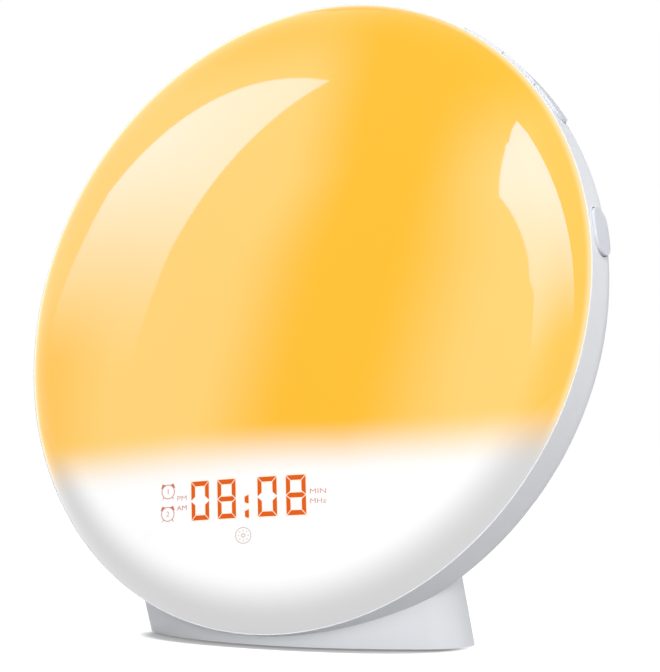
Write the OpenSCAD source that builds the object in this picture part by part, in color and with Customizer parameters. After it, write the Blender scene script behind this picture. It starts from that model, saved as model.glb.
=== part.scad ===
// Sunrise alarm clock: a round lamp face leaning back on a flared foot.
// World frame: +Z up, the face looks towards -Y, the origin is the middle of the foot's underside.
// Face frame: x right, y up along the face, z out of the face, zero at the seam's middle.

/* [Face] */
// Radius of the seam where the light cover meets the housing
seam_r = 90; // [75:1:105]
// How far the face leans back from upright, in degrees
face_tilt = 12; // [8:1:16]
// How far the face's middle stands in front of the foot's middle
face_forward = 10; // [8:0.1:12]
// Clear height between the table and the lowest point of the rim
rim_lift = 1.45; // [0.8:0.05:4]

/* [Light cover] */
// How far the cover bulges in front of the seam
cover_rise = 16; // [12:0.5:22]
// Radius of the rounded shoulder round the cover
cover_shoulder_r = 22; // [16:1:28]
// Slope of the cover where it meets the seam, in degrees
cover_edge_slope = 50; // [42:1:60]
// Wall of the cover
cover_wall = 2.2; // [1.4:0.1:2.8]
// Length of the cover's skirt inside the housing
skirt_length = 3; // [2:0.1:4]
// Wall of the cover's skirt
skirt_wall = 1.2; // [0.8:0.1:1.6]
// How far the snap bead stands out of the skirt
bead_height = 0.4; // [0.2:0.05:0.5]

/* [Housing] */
// How far the rim stands out past the seam
rim_step = 0.3; // [0.1:0.1:1.5]
// Width of the straight band round the rim
band_w = 9.2; // [8:0.1:12]
// Radius of the tight shoulder behind the band
rear_shoulder_r = 9.5; // [7:0.5:12]
// Angle through which the tight shoulder turns, in degrees
rear_shoulder_turn = 60; // [52:1:66]
// Depth that the curved back would reach on the axis
crown_depth = 37; // [34:0.5:42]
// Depth of the flat middle of the back
back_depth = 34; // [31:0.5:36]
// Wall of the housing
housing_wall = 2.4; // [1.8:0.1:3]
// Distance of the four chassis pillars inside the seam
pillar_inset = 20; // [18:0.5:24]
// Radius of each chassis pillar
pillar_r = 3.6; // [3:0.1:4.5]

/* [Foot] */
// Half width of the foot on the table
foot_half_w = 50.5; // [47:0.1:53]
// Half depth of the foot on the table
foot_half_d = 25; // [24:0.1:26]
// Radius of the arcs that close the foot's plan at its two ends
foot_end_r = 12; // [11:0.5:15]
// How far the foot leans forward as it rises, in degrees
foot_lean = 21; // [14:1:23]
// How far the foot's front stays behind the seam
foot_front_setback = 3; // [2:0.5:5]
// Wall of the foot
foot_wall = 2.2; // [1.6:0.1:3]
// Thickness of the plate that closes the foot
plate_t = 2.4; // [2:0.1:3.5]
// Half length of the rubber pad
pad_half_w = 30; // [24:1:31]
// Half depth of the rubber pad
pad_half_d = 15; // [10:1:16]
// Radius of the rubber pad's corners
pad_corner_r = 8; // [3:0.5:9.5]
// How far the rubber pad stands below the foot
pad_proud = 0.6; // [0.3:0.1:1]
// How deep the rubber pad sits in the plate
pad_sunk = 0.6; // [0.3:0.1:1]
// Distance of the base screws from the middle, sideways
base_screw_x = 34.5; // [34:0.5:35]
// Distance of the base screws from the middle, front to back
base_screw_y = 8; // [6:0.5:8.5]
// Radius of the screw bosses inside the foot
foot_boss_r = 3.4; // [3:0.1:4]

/* [Keys] */
// Distance of the keys' front edge behind the seam
key_setback = 1.9; // [1.5:0.1:2.5]
// Width of the keys across the rim
key_w = 9.5; // [7:0.1:10]
// How far the keys stand out of the rim
key_proud = 0.8; // [0.7:0.1:1.5]
// Travel of each key
key_travel = 0.6; // [0.3:0.1:0.6]
// Gap between a key and its neighbours
key_gap = 0.3; // [0.2:0.05:0.5]
// Angle of the three-key group above the horizontal, in degrees
group_angle = 47.5; // [44:0.5:50]
// Length of the three-key group
group_length = 44; // [36:0.5:48]
// Angle of the side key above the horizontal, in degrees
side_angle = 11.6; // [6:0.2:14]
// Length of the side key
side_length = 13; // [11:0.5:16]
// Length of the top key
top_length = 38; // [28:0.5:40]
// Wall of a key cap
key_wall = 1.2; // [0.8:0.1:1.5]
// Radial depth of a key cap below the rim
key_depth = 5.8; // [5.2:0.1:6.2]
// How far the flange reaches past the key on each side
flange_reach = 1; // [0.6:0.1:1]
// Thickness of the flange that keeps a key in
flange_t = 1.5; // [1:0.1:1.8]
// Width of a switch body
switch_w = 6; // [4.5:0.1:6.4]
// Height of a switch body
switch_h = 3.5; // [2.5:0.1:3.8]
// Radius of a switch stem
stem_r = 1.7; // [1.2:0.1:2]
// How far a switch stem stands out of its body
stem_proud = 1.5; // [1:0.1:1.8]
// Clear space from the rim to a key board's face
key_board_drop = 13.8; // [13.4:0.1:15]
// Thickness of the key boards
key_board_t = 1.2; // [0.8:0.1:1.6]

/* [Light] */
// Thickness of the reflector plate
reflector_t = 1.5; // [1:0.1:2]
// Distance of the plate's face behind the seam
reflector_setback = 0.3; // [0.2:0.05:0.5]
// Radius of the light board as a share of the seam's radius
light_board_share = 0.667; // [0.56:0.001:0.68]
// Thickness of the light board
light_board_t = 1.2; // [0.8:0.1:1.6]
// Width of one light emitting diode
led_w = 5; // [3:0.1:5.4]
// Height of one light emitting diode
led_h = 1.6; // [1:0.1:2]
// Depth of the divider's middle below the face's middle, as a share of the seam's radius
divider_share = 0.5; // [0.48:0.005:0.51]
// Thickness of the light divider
divider_t = 1.6; // [1:0.1:2]

/* [Display] */
// Height of one digit
digit_h = 10.2; // [8:0.1:11]
// Width of one digit
digit_w = 5.9; // [4.5:0.1:6.5]
// Spacing from digit to digit
digit_pitch = 8.8; // [8:0.1:9.5]
// Extra room between the hours and the minutes
colon_room = 4.1; // [3:0.1:5]
// Distance from the divider's middle down to the digits' tops
digit_gap = 5.5; // [4.8:0.1:6]
// How far the digits stand to the right of the middle
digit_shift = 1.2; // [-1:0.1:1.5]
// Width of one lit segment
segment_w = 1.25; // [0.8:0.05:1.5]
// Thickness of a segment's window
segment_t = 0.5; // [0.3:0.1:0.8]
// Width of the digit module
module_w = 42; // [38:0.5:46]
// Depth of the digit module up and down the face
module_h = 13; // [12:0.1:13.4]
// Thickness of the digit module
module_t = 5; // [3:0.1:5.2]
// Half width of the display board as a share of the plate's half width at its lower edge
display_share = 0.87; // [0.72:0.01:0.88]
// Height of the display board up the face
display_h = 23.4; // [23:0.1:24]
// Thickness of the display board
display_board_t = 1.6; // [1:0.1:1.8]
// Wall of the shroud round the display
shroud_wall = 1.4; // [1:0.1:1.8]
// Radius of the conducting pillar behind the touch mark
touch_r = 2; // [1.5:0.1:2.2]
// Distance from the digits' feet down to the touch mark's middle
touch_gap = 4.8; // [4.5:0.1:5.2]

/* [Main board] */
// Width of the main board
main_w = 70; // [64:0.5:71]
// Height of the main board up the face
main_h = 42; // [38:0.5:42.5]
// Thickness of the main board
main_t = 1.6; // [1:0.1:2]
// Distance of the main board's upper edge below the face's middle
main_top_drop = 14; // [12:0.5:15]
// Clear height between the reflector plate and the main board
main_standoff = 5.2; // [4:0.1:6]
// Inset of the board screws from the main board's corners
main_screw_inset = 4; // [3.5:0.1:4.5]

/* [Speaker] */
// Radius of the speaker's flange
speaker_r = 26; // [24:0.5:27]
// Height of the speaker above the face's middle
speaker_rise = 8; // [6:0.5:9]
// Depth of the speaker's basket
basket_depth = 8; // [6:0.1:9]
// Thickness of the speaker's flange
speaker_flange_t = 1.5; // [1:0.1:2]
// Radius of the magnet
magnet_r = 14; // [11:0.5:15]
// Thickness of the magnet
magnet_t = 6.5; // [4:0.1:7]
// Thickness of the foam gasket
gasket_t = 1; // [0.6:0.1:1.5]
// Radius of one hole in the speaker grille
grille_hole_r = 1; // [0.6:0.1:1.2]
// Spacing of the rings of grille holes
grille_pitch = 4; // [3.2:0.1:5]

/* [Sockets] */
// Distance of the sockets from the middle, sideways
socket_x = 16; // [14:0.5:17]
// Height of the sockets below the face's middle
socket_drop = 29; // [28:0.5:30]
// Radius of the power socket's barrel
inlet_r = 4; // [3.6:0.1:4.4]
// Radius of the power socket's bore
inlet_bore_r = 2.85; // [2.5:0.05:3]
// Radius of the power socket's centre pin
inlet_pin_r = 1.05; // [0.8:0.05:1.2]
// Length of the power socket's bore
inlet_bore_length = 9.5; // [8:0.1:10]
// Radius of the aerial bush
bush_r = 3; // [2.4:0.1:3.4]
// Radius of the hole through the aerial bush
bush_bore_r = 0.9; // [0.6:0.1:1.2]

/* [Screws] */
// Radius of a screw's shank
screw_r = 1.2; // [1:0.05:1.3]
// Radius of a screw's head
screw_head_r = 2.3; // [2:0.1:2.5]
// Thickness of a screw's head
screw_head_t = 1.3; // [1:0.1:1.4]

/* [Fits] */
// Clearance between fixed pieces
fit = 0.15; // [0.1:0.05:0.25]
// Clearance round anything that moves
running_gap = 0.3; // [0.2:0.05:0.4]
// Clearance of a stem or a screw in its hole
bore_gap = 0.05; // [0.04:0.01:0.1]

/* [Hidden] */
$fn = 96;
eps = 0.01;
big = 400;

// Heights and profiles that follow from the sizes above
rim_r = seam_r + rim_step;
face_z = (rim_r - rear_shoulder_r) * cos(face_tilt) + band_w * sin(face_tilt)
    + rear_shoulder_r + rim_lift;

// Light cover: a flat crown arc runs into a rounded shoulder arc
cover_sx = seam_r - cover_shoulder_r * sin(cover_edge_slope);
cover_sz = -cover_shoulder_r * cos(cover_edge_slope);
crown_k = cover_sz - cover_rise;
crown_r = (pow(cover_sx, 2) + pow(crown_k, 2) - pow(cover_shoulder_r, 2))
    / (-2 * cover_shoulder_r - 2 * crown_k);
crown_z = cover_rise - crown_r;
crown_angle = atan2(cover_sx, cover_sz - crown_z);

// Housing: a tight shoulder arc behind the band runs into the wide back arc
back_r = (crown_depth - band_w - rear_shoulder_r * sin(rear_shoulder_turn))
    / (1 - sin(rear_shoulder_turn));
back_x = rim_r - rear_shoulder_r - (back_r - rear_shoulder_r) * cos(rear_shoulder_turn);
back_z = -band_w + (back_r - rear_shoulder_r) * sin(rear_shoulder_turn);

// Rebate in the housing's mouth that takes the cover's skirt
skirt_r = rim_r - skirt_wall - fit;
rebate_r = rim_r - skirt_wall;

// Keys
key_mid_z = -(key_setback + key_w / 2);
key_inner_r = rim_r - key_depth;
flange_outer_r = rim_r - housing_wall - running_gap;
key_board_x = rim_r - key_board_drop;
switch_top_x = key_board_x + switch_h;
stem_top_x = switch_top_x + stem_proud;
switch_floor = 0.6;
stem_seat_x = key_board_x + switch_floor + key_travel + running_gap;
post_r = 2;
segment_length = group_length / 3;

// Reflector plate: it clears the keys when they are pressed, and its lip rises round the light
reflector_r = key_inner_r - key_travel - running_gap;
lip_reach = 2;
lip_t = 1.2;
lip_rise = 1.5;

// Pieces that follow the seam
pillar_orbit_r = seam_r - pillar_inset;
light_board_r = seam_r * light_board_share;
divider_drop = seam_r * divider_share;

// Heights in the face frame
plate_z = -reflector_setback;
plate_back_z = plate_z - reflector_t;
back_wall_z = -(back_depth - housing_wall);
main_front_z = plate_back_z - main_standoff;
main_back_z = main_front_z - main_t;
display_face_z = plate_z + display_board_t;
module_face_z = display_face_z + module_t;
pillar_angles = [25, 155, 228, 312];

// Display
digit_drop = divider_drop + digit_gap + digit_h;
touch_drop = digit_drop + touch_gap;
display_mid_y = -(digit_drop - digit_h / 2);
display_top_y = -(divider_drop + divider_t / 2 + 2 * running_gap);
display_bottom_y = display_top_y - display_h;
display_half_w = sqrt(pow(reflector_r, 2) - pow(display_bottom_y, 2)) * display_share;
digit_x = [for (i = [0:3]) digit_shift
    + (i - 1.5) * digit_pitch + (i < 2 ? -1 : 1) * colon_room / 2];

// Foot
foot_floor_z = pad_proud;
plate_top_z = foot_floor_z + plate_t;
foot_ledge = 0.8;
plate_inset = foot_wall + foot_ledge;
foot_end_x = foot_half_w - foot_end_r;

// ---------------------------------------------------------------- frames and profiles

// Places children that are modelled in the face frame
module on_face() {
    translate([0, -face_forward, face_z]) rotate([90 - face_tilt, 0, 0]) children();
}

// Half outline of the light cover in front of the seam, moved in by inset
module cover_outline(inset = 0) {
    join_x = cover_sx + (cover_shoulder_r - inset) * sin(crown_angle);
    intersection() {
        translate([0, crown_z]) circle(crown_r - inset, $fn = 192);
        square([join_x, cover_rise]);
    }
    intersection() {
        translate([cover_sx, cover_sz]) circle(cover_shoulder_r - inset);
        translate([join_x - eps, 0]) square([seam_r, cover_rise]);
    }
}

// Half outline of the housing behind the seam, moved out by grow
module housing_outline(grow = 0) {
    join_x = rim_r - rear_shoulder_r + (rear_shoulder_r + grow) * cos(rear_shoulder_turn);
    translate([0, -band_w]) square([rim_r + grow, band_w]);
    intersection() {
        translate([rim_r - rear_shoulder_r, -band_w]) circle(rear_shoulder_r + grow);
        translate([rim_r - rear_shoulder_r, -band_w - big]) square([big, big + eps]);
    }
    intersection() {
        translate([back_x, back_z]) circle(back_r + grow, $fn = 192);
        translate([0, -(back_depth + grow)]) square([join_x, back_depth + grow - band_w + eps]);
    }
}

module housing_solid(grow = 0) {
    rotate_extrude() housing_outline(grow);
}

// Space under the light cover, down to the reflector plate, kept gap away from the cover
module cover_space(gap) {
    rotate_extrude() {
        difference() {
            cover_outline(cover_wall + gap);
            translate([reflector_r - lip_t - fit, 0]) square([seam_r, plate_z + lip_rise + gap]);
        }
        translate([0, plate_z]) square([reflector_r - lip_t - fit, reflector_setback + eps]);
    }
}

// Long oval from low to high along x
module oval(low, high, width) {
    end_r = width / 2;
    translate([low + end_r, 0]) circle(end_r);
    translate([high - end_r, 0]) circle(end_r);
    translate([low + end_r, -end_r]) square([high - low - width, width]);
}

// ---------------------------------------------------------------- fasteners

// Pan head screw, head's bearing face at z = 0, shank towards -z
module screw(length) {
    cylinder(r = screw_head_r, h = screw_head_t);
    translate([0, 0, -length]) cylinder(r = screw_r, h = length + eps);
}

module screw_hole(length) {
    translate([0, 0, -length]) cylinder(r = screw_r + bore_gap, h = length + eps);
}

module at_pillars() {
    for (a = pillar_angles) rotate([0, 0, a]) translate([pillar_orbit_r, 0, 0]) children();
}

// ---------------------------------------------------------------- foot

// Rounded rectangle round the origin
module rounded(half_w, half_d, r) {
    for (x = [-1, 1]) for (y = [-1, 1]) translate([x * (half_w - r), y * (half_d - r)]) circle(r);
    square([2 * half_w, 2 * (half_d - r)], center = true);
    square([2 * (half_w - r), 2 * half_d], center = true);
}

// Radius of the long bows that touch both end arcs, for a plan of this half depth
function bow_r(half_d) = (pow(foot_end_x, 2) + pow(half_d, 2) - pow(foot_end_r, 2))
    / (2 * (half_d - foot_end_r));

// Stretch of plan that the front bow bounds, between the lines from its centre to the end arcs
module bow_wedge(centre_y) {
    overlap = 1;
    reach = big / 4;
    inner_x = foot_end_x * (centre_y - overlap) / centre_y;
    outer_x = foot_end_x * (centre_y + reach) / centre_y;
    polygon([[-inner_x, overlap], [inner_x, overlap], [outer_x, -reach], [-outer_x, -reach]]);
}

// Foot's plan, moved in by inset: front and back bows, closed by the two end arcs
module foot_plan(half_d, inset) {
    centre_y = bow_r(half_d) - half_d;
    for (side = [-1, 1]) translate([side * foot_end_x, 0]) circle(foot_end_r - inset);
    for (turn = [0, 180]) rotate(turn) intersection() {
        translate([0, centre_y]) circle(bow_r(half_d) - inset, $fn = 192);
        bow_wedge(centre_y);
    }
}

// Leaning column between two heights, its plan moved in by inset
module foot_slice(inset, low, high) {
    intersection() {
        rotate([foot_lean, 0, 0]) translate([0, 0, -big / 4]) linear_extrude(big / 2)
            foot_plan(foot_half_d * cos(foot_lean), inset);
        translate([-big / 2, -big / 2, low]) cube([big, big, high - low]);
    }
}

// Everything that lies at least this far behind the seam
module behind_seam(setback) {
    on_face() translate([-big / 2, -big / 2, -big - setback]) cube(big);
}

module foot_solid() {
    intersection() {
        foot_slice(0, foot_floor_z, face_z - foot_half_w);
        behind_seam(foot_front_setback);
    }
}

// Pocket inside the foot: the base plate's seat and the space above it
module foot_pocket() {
    foot_slice(plate_inset, -1, plate_top_z);
    difference() {
        intersection() {
            foot_slice(plate_inset + foot_ledge, plate_top_z - eps, face_z);
            behind_seam(foot_front_setback + foot_wall);
        }
        on_face() housing_solid(0);
    }
}

module at_base_screws() {
    for (x = [-base_screw_x, base_screw_x]) for (y = [-base_screw_y, base_screw_y])
        translate([x, y, 0]) children();
}

module foot_bosses() {
    intersection() {
        foot_solid();
        difference() {
            at_base_screws() translate([0, 0, plate_top_z]) cylinder(r = foot_boss_r, h = face_z / 2);
            on_face() housing_solid(-housing_wall / 2);
        }
    }
}

// ---------------------------------------------------------------- keys

// Key frames: x out of the rim, y along it, z out of the face
module key_frame(angle) {
    rotate([0, 0, angle]) children();
}

// Carries an outline drawn in y and z through the rim along x
module through_rim(inner, outer) {
    translate([inner, 0, key_mid_z]) rotate([90, 0, 90]) linear_extrude(outer - inner) children();
}

// Plan of one key in the group, moved in by inset: index 0 is the lowest, each wraps the one below
module group_key_plan(index, inset = 0) {
    low = -group_length / 2 + index * segment_length;
    difference() {
        oval(low - (index > 0 ? key_w : 0) + inset, low + segment_length - inset, key_w - 2 * inset);
        if (index > 0) {
            oval(low - 2 * key_w, low + key_gap + inset, key_w + 2 * (key_gap + inset));
            translate([low - 3 * key_w, -key_w]) square([2.5 * key_w - key_gap + inset, 2 * key_w]);
        }
    }
}

module single_key_plan(length, inset = 0) {
    oval(-length / 2 + inset, length / 2 - inset, key_w - 2 * inset);
}

// Cap of a key: child 0 is its plan, child 1 the plan of its hollow. A post reaches down to the
// switch from middle, and flanges between flange_low and flange_high hold it behind the rim.
module key_cap(middle, furthest, flange_low, flange_high) {
    hollow_top = sqrt(pow(rim_r + key_proud - key_wall, 2) - pow(furthest, 2)) - key_wall / 2;
    difference() {
        intersection() {
            through_rim(key_board_x, rim_r + 2 * key_proud) children(0);
            housing_solid(key_proud);
            outside_cylinder(key_inner_r);
        }
        through_rim(key_board_x, hollow_top) children(1);
    }
    translate([0, middle, key_mid_z]) rotate([0, 90, 0]) translate([0, 0, stem_top_x])
        cylinder(r = post_r, h = hollow_top + eps - stem_top_x);
    intersection() {
        housing_solid(flange_outer_r - rim_r);
        outside_cylinder(flange_outer_r - flange_t);
        through_rim(key_board_x, rim_r) for (side = [-1, 1])
            translate([flange_low, side * (key_w + flange_reach - key_wall) / 2
                - (flange_reach + key_wall) / 2])
                square([flange_high - flange_low, flange_reach + key_wall]);
    }
}

// Everything outside a cylinder round the face's axis
module outside_cylinder(r) {
    difference() {
        cylinder(r = 2 * seam_r, h = 2 * seam_r, center = true);
        cylinder(r = r, h = 3 * seam_r, center = true);
    }
}

module switch_body() {
    difference() {
        translate([key_board_x, -switch_w / 2, key_mid_z - switch_w / 2])
            cube([switch_h, switch_w, switch_w]);
        translate([key_board_x + switch_floor, 0, key_mid_z]) rotate([0, 90, 0])
            cylinder(r = stem_r + bore_gap, h = switch_h);
    }
}

module switch_stem() {
    translate([stem_seat_x, 0, key_mid_z]) rotate([0, 90, 0])
        cylinder(r = stem_r, h = stem_top_x - stem_seat_x);
}

// Board behind a run of keys
board_reach = 2;
function key_board_half(length) = length / 2 + board_reach;
module key_board(length) {
    translate([key_board_x - key_board_t, -key_board_half(length), key_mid_z - key_w / 2])
        cube([key_board_t, 2 * key_board_half(length), key_w]);
}

// Slotted ribs on the housing that hold a key board by its ends
module key_board_ribs(length) {
    rib_w = 3;
    rib_reach = 1.5;
    half = key_board_half(length);
    difference() {
        for (side = [-1, 1]) translate([key_board_x - key_board_t - rib_reach,
            side * (half + fit) - rib_w / 2, -back_depth])
            cube([key_board_t + 2 * rib_reach, rib_w, back_depth - key_setback - 1]);
        translate([key_board_x - key_board_t - fit, -half - fit, key_mid_z - key_w / 2 - fit])
            cube([key_board_t + 2 * fit, 2 * (half + fit), big]);
    }
}

// Runs children in the right, left and top key frames
module right_group() { key_frame(group_angle) children(); }
module right_side() { key_frame(side_angle) children(); }
module left_half() { mirror([1, 0, 0]) children(); }
module top_run() { key_frame(90) children(); }

function group_mid(index) = (index - 1) * segment_length;

module group_key(index) {
    low = -group_length / 2 + index * segment_length;
    high = low + segment_length - (index < 2 ? key_w / 2 + 2 * key_gap : key_wall);
    key_cap(group_mid(index), group_length / 2, low + key_wall, high) {
        group_key_plan(index);
        group_key_plan(index, key_wall);
    }
}

module single_key(length) {
    flange_end = length / 2 - key_w / 4;
    key_cap(0, length / 2, -flange_end, flange_end) {
        single_key_plan(length);
        single_key_plan(length, key_wall);
    }
}

// Openings that the keys pass through, grown by gap
module key_openings(gap) {
    through = [rim_r - 2 * key_depth, rim_r + key_depth];
    module side_openings() {
        right_group() through_rim(through[0], through[1])
            oval(-group_length / 2 - gap, group_length / 2 + gap, key_w + 2 * gap);
        right_side() through_rim(through[0], through[1])
            oval(-side_length / 2 - gap, side_length / 2 + gap, key_w + 2 * gap);
    }
    side_openings();
    left_half() side_openings();
    top_run() through_rim(through[0], through[1])
        oval(-top_length / 2 - gap, top_length / 2 + gap, key_w + 2 * gap);
}

module all_ribs() {
    module side_ribs() {
        right_group() key_board_ribs(group_length);
        right_side() key_board_ribs(side_length);
    }
    side_ribs();
    left_half() side_ribs();
    top_run() key_board_ribs(top_length);
}

// ---------------------------------------------------------------- shells

module light_diffuser() color("moccasin") on_face() {
    difference() {
        rotate_extrude() {
            difference() {
                cover_outline(0);
                cover_outline(cover_wall);
            }
            translate([skirt_r - skirt_wall, -skirt_length])
                square([skirt_wall, skirt_length + cover_wall / 2]);
            translate([skirt_r, -skirt_length]) polygon([[-skirt_wall / 2, 0], [0, 0],
                [bead_height, 1.5 * bead_height], [0, 3 * bead_height],
                [-skirt_wall / 2, 3 * bead_height]]);
        }
        key_openings(2 * running_gap);
    }
}

module speaker_grille() {
    rings = floor((speaker_r - 6) / grille_pitch);
    cylinder(r = grille_hole_r, h = 2 * back_depth, $fn = 24);
    for (ring = [1:rings]) for (i = [0:6 * ring - 1]) rotate([0, 0, 360 * i / (6 * ring)])
        translate([ring * grille_pitch, 0, 0])
            cylinder(r = grille_hole_r, h = 2 * back_depth, $fn = 24);
}

module at_speaker() { translate([0, speaker_rise, 0]) children(); }
module round_speaker() {
    for (a = [45:90:315]) rotate([0, 0, a])
        translate([speaker_r - screw_head_r - bore_gap, 0, 0]) children();
}
module at_speaker_screws() { at_speaker() round_speaker() children(); }
module at_inlet() { translate([socket_x, -socket_drop, 0]) children(); }
module at_bush() { translate([-socket_x, -socket_drop, 0]) children(); }

// Hole for a socket's barrel and the flat seat for its shoulder, where the wall may curve
module socket_seat(barrel_r) {
    translate([0, 0, -2 * back_depth]) cylinder(r = barrel_r + fit, h = 2 * back_depth);
    translate([0, 0, back_wall_z])
        cylinder(r = barrel_r + socket_shoulder + fit, h = back_depth / 2);
}

module rear_housing() color("whitesmoke") {
    difference() {
        union() {
            difference() {
                union() {
                    on_face() housing_solid(0);
                    foot_solid();
                }
                on_face() housing_solid(-housing_wall);
                on_face() translate([0, 0, -band_w]) cylinder(r = rim_r - housing_wall, h = big);
                foot_pocket();
            }
            foot_bosses();
            on_face() intersection() {
                housing_solid(-housing_wall / 2);
                union() {
                    at_pillars() translate([0, 0, -back_depth])
                        cylinder(r = pillar_r, h = back_depth + plate_back_z);
                    all_ribs();
                }
            }
        }
        on_face() {
            translate([0, 0, -skirt_length - fit]) cylinder(r = rebate_r, h = big);
            translate([0, 0, -skirt_length]) rotate_extrude()
                translate([rebate_r, 0]) polygon([[-skirt_wall, 0], [0, 0],
                    [bead_height, 1.5 * bead_height], [0, 3 * bead_height],
                    [-skirt_wall, 3 * bead_height]]);
            key_openings(key_gap);
            at_speaker() translate([0, 0, -1.5 * back_depth]) speaker_grille();
            at_pillars() translate([0, 0, plate_back_z]) screw_hole(chassis_screw_length);
            at_speaker_screws() translate([0, 0, back_wall_z]) screw_hole(housing_wall - screw_floor);
            at_inlet() socket_seat(inlet_r);
            at_bush() socket_seat(bush_r);
        }
        at_base_screws() translate([0, 0, plate_top_z]) mirror([0, 0, 1])
            screw_hole(base_screw_grip + bore_gap);
    }
}

// ---------------------------------------------------------------- underside

base_head_depth = screw_head_t + bore_gap;
base_screw_grip = 6;
chassis_screw_length = 8;
screw_floor = 0.6;

module base_plate() color("gainsboro") {
    difference() {
        foot_slice(plate_inset + fit, foot_floor_z, plate_top_z);
        translate([0, 0, foot_floor_z - eps]) linear_extrude(pad_sunk + eps)
            rounded(pad_half_w + fit, pad_half_d + fit, pad_corner_r + fit);
        at_base_screws() {
            translate([0, 0, foot_floor_z - eps])
                cylinder(r = screw_head_r + running_gap, h = base_head_depth + eps);
            cylinder(r = screw_r + bore_gap, h = 2 * plate_top_z);
        }
    }
}

module foot_pad() color("dimgray") {
    linear_extrude(pad_proud + pad_sunk) rounded(pad_half_w, pad_half_d, pad_corner_r);
}

module base_screws() color("silver") {
    at_base_screws() translate([0, 0, foot_floor_z + base_head_depth]) mirror([0, 0, 1])
        screw(plate_t - base_head_depth + base_screw_grip);
}

// ---------------------------------------------------------------- light chamber

led_rings = [[0.27, 6], [0.53, 12], [0.80, 18]];
led_clear_y = divider_drop - divider_t - led_w;
light_board_low_y = -divider_drop + divider_t + 0.5;
light_screw_inset = 4;
light_screw_grip = 1;
standoff_r = 3;
main_screw_grip = 4;
cover_clear = 0.4;

module reflector_plate() color("white") on_face() {
    difference() {
        rotate_extrude() {
            translate([0, plate_back_z]) square([reflector_r, reflector_t]);
            polygon([[reflector_r - lip_t, plate_z - eps], [reflector_r - lip_t, plate_back_z],
                [reflector_r, plate_back_z], [reflector_r, plate_z],
                [reflector_r + lip_reach, plate_z + lip_t],
                [reflector_r + lip_reach - (lip_rise - lip_t), plate_z + lip_rise]]);
        }
        at_pillars() screw_hole(back_depth);
        at_light_screws() screw_hole(back_depth);
        translate([-link_w / 2 - fit, link_y - link_t / 2 - fit, -back_depth])
            cube([link_w + 2 * fit, link_t + 2 * fit, 2 * back_depth]);
    }
    difference() {
        at_main_screws() translate([0, 0, main_front_z])
            cylinder(r = standoff_r, h = main_standoff + eps);
        at_main_screws() translate([0, 0, main_front_z + main_screw_grip])
            screw_hole(2 * main_screw_grip);
    }
}

module chassis_screws() color("silver") on_face() {
    at_pillars() translate([0, 0, plate_z]) screw(chassis_screw_length);
}

module light_divider() color("white") on_face() {
    intersection() {
        cover_space(cover_clear);
        translate([-big / 2, -divider_drop - divider_t / 2, -back_depth])
            cube([big, divider_t, 2 * back_depth]);
    }
}

module at_light_screws() {
    for (a = [0:60:180]) rotate([0, 0, a])
        translate([light_board_r - light_screw_inset, 0, plate_z]) children();
}

module light_board() color("seashell") on_face() {
    difference() {
        translate([0, 0, plate_z]) cylinder(r = light_board_r, h = light_board_t);
        translate([-big / 2, light_board_low_y - big, -back_depth]) cube([big, big, 2 * back_depth]);
        at_light_screws() cylinder(r = screw_r + bore_gap, h = back_depth, center = true);
    }
}

module light_leds() color("gold") on_face() {
    for (ring = led_rings) for (i = [0:ring[1] - 1]) {
        a = 360 * (i + 0.5) / ring[1];
        if (light_board_r * ring[0] * sin(a) > -led_clear_y) rotate([0, 0, a])
            translate([light_board_r * ring[0] - led_w / 2, -led_w / 2, plate_z + light_board_t])
                cube([led_w, led_w, led_h]);
    }
}

module light_screws() color("silver") on_face() {
    at_light_screws() translate([0, 0, light_board_t]) screw(light_board_t + reflector_t + light_screw_grip);
}

// ---------------------------------------------------------------- display

link_w = 20;
link_t = 2.4;
link_y = display_mid_y;
colon_h = 2.2;
colon_step = 3.85;

module display_board() color("darkgreen") on_face() {
    translate([-display_half_w, display_top_y - display_h, plate_z])
        cube([2 * display_half_w, display_h, display_board_t]);
}

// One bar of a digit, pointed at both ends, lying along x
module segment_bar(length, grow = 0) {
    half = length / 2 + grow;
    w = segment_w / 2 + grow;
    polygon([[-half, 0], [-half + w, w], [half - w, w], [half, 0], [half - w, -w], [-half + w, -w]]);
}

// All seven bars of one digit and their outline, each left slightly short of its corners
module digit_bars(grow = 0) {
    bar_gap = 0.35;
    across = digit_w - segment_w;
    up = (digit_h - segment_w) / 2;
    for (y = [-1, 0, 1]) translate([0, y * up]) segment_bar(across - bar_gap, grow);
    for (x = [-1, 1]) for (y = [-1, 1]) translate([x * across / 2, y * up / 2])
        rotate([0, 0, 90]) segment_bar(up - bar_gap, grow);
}

module display_bars(grow = 0) {
    for (x = digit_x) translate([x, display_mid_y]) digit_bars(grow);
    for (foot = [0, colon_step]) translate([digit_shift, -digit_drop + foot + colon_h / 2])
        square([segment_w + 2 * grow, colon_h + 2 * grow], center = true);
}

module digit_module() color("gray") on_face() {
    difference() {
        translate([digit_shift - module_w / 2, display_mid_y - module_h / 2, display_face_z])
            cube([module_w, module_h, module_t]);
        translate([0, 0, module_face_z - segment_t]) linear_extrude(big) display_bars(bore_gap);
    }
}

module digit_segments() color("orangered") on_face() {
    translate([0, 0, module_face_z - segment_t]) linear_extrude(segment_t) display_bars(0);
}

module display_shroud() color("white") on_face() {
    margin = 0.3;
    w = 2 * (display_half_w - margin);
    h = display_h - 2 * margin;
    intersection() {
        cover_space(cover_clear);
        translate([-w / 2, display_top_y - margin - h, display_face_z]) difference() {
            cube([w, h, back_depth]);
            translate([shroud_wall, shroud_wall, -1])
                cube([w - 2 * shroud_wall, h - 2 * shroud_wall, 2 * back_depth]);
        }
    }
}

module touch_pillar() color("darkgoldenrod") on_face() {
    intersection() {
        translate([0, -touch_drop, display_face_z]) cylinder(r = touch_r, h = back_depth);
        cover_space(running_gap);
    }
}

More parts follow.
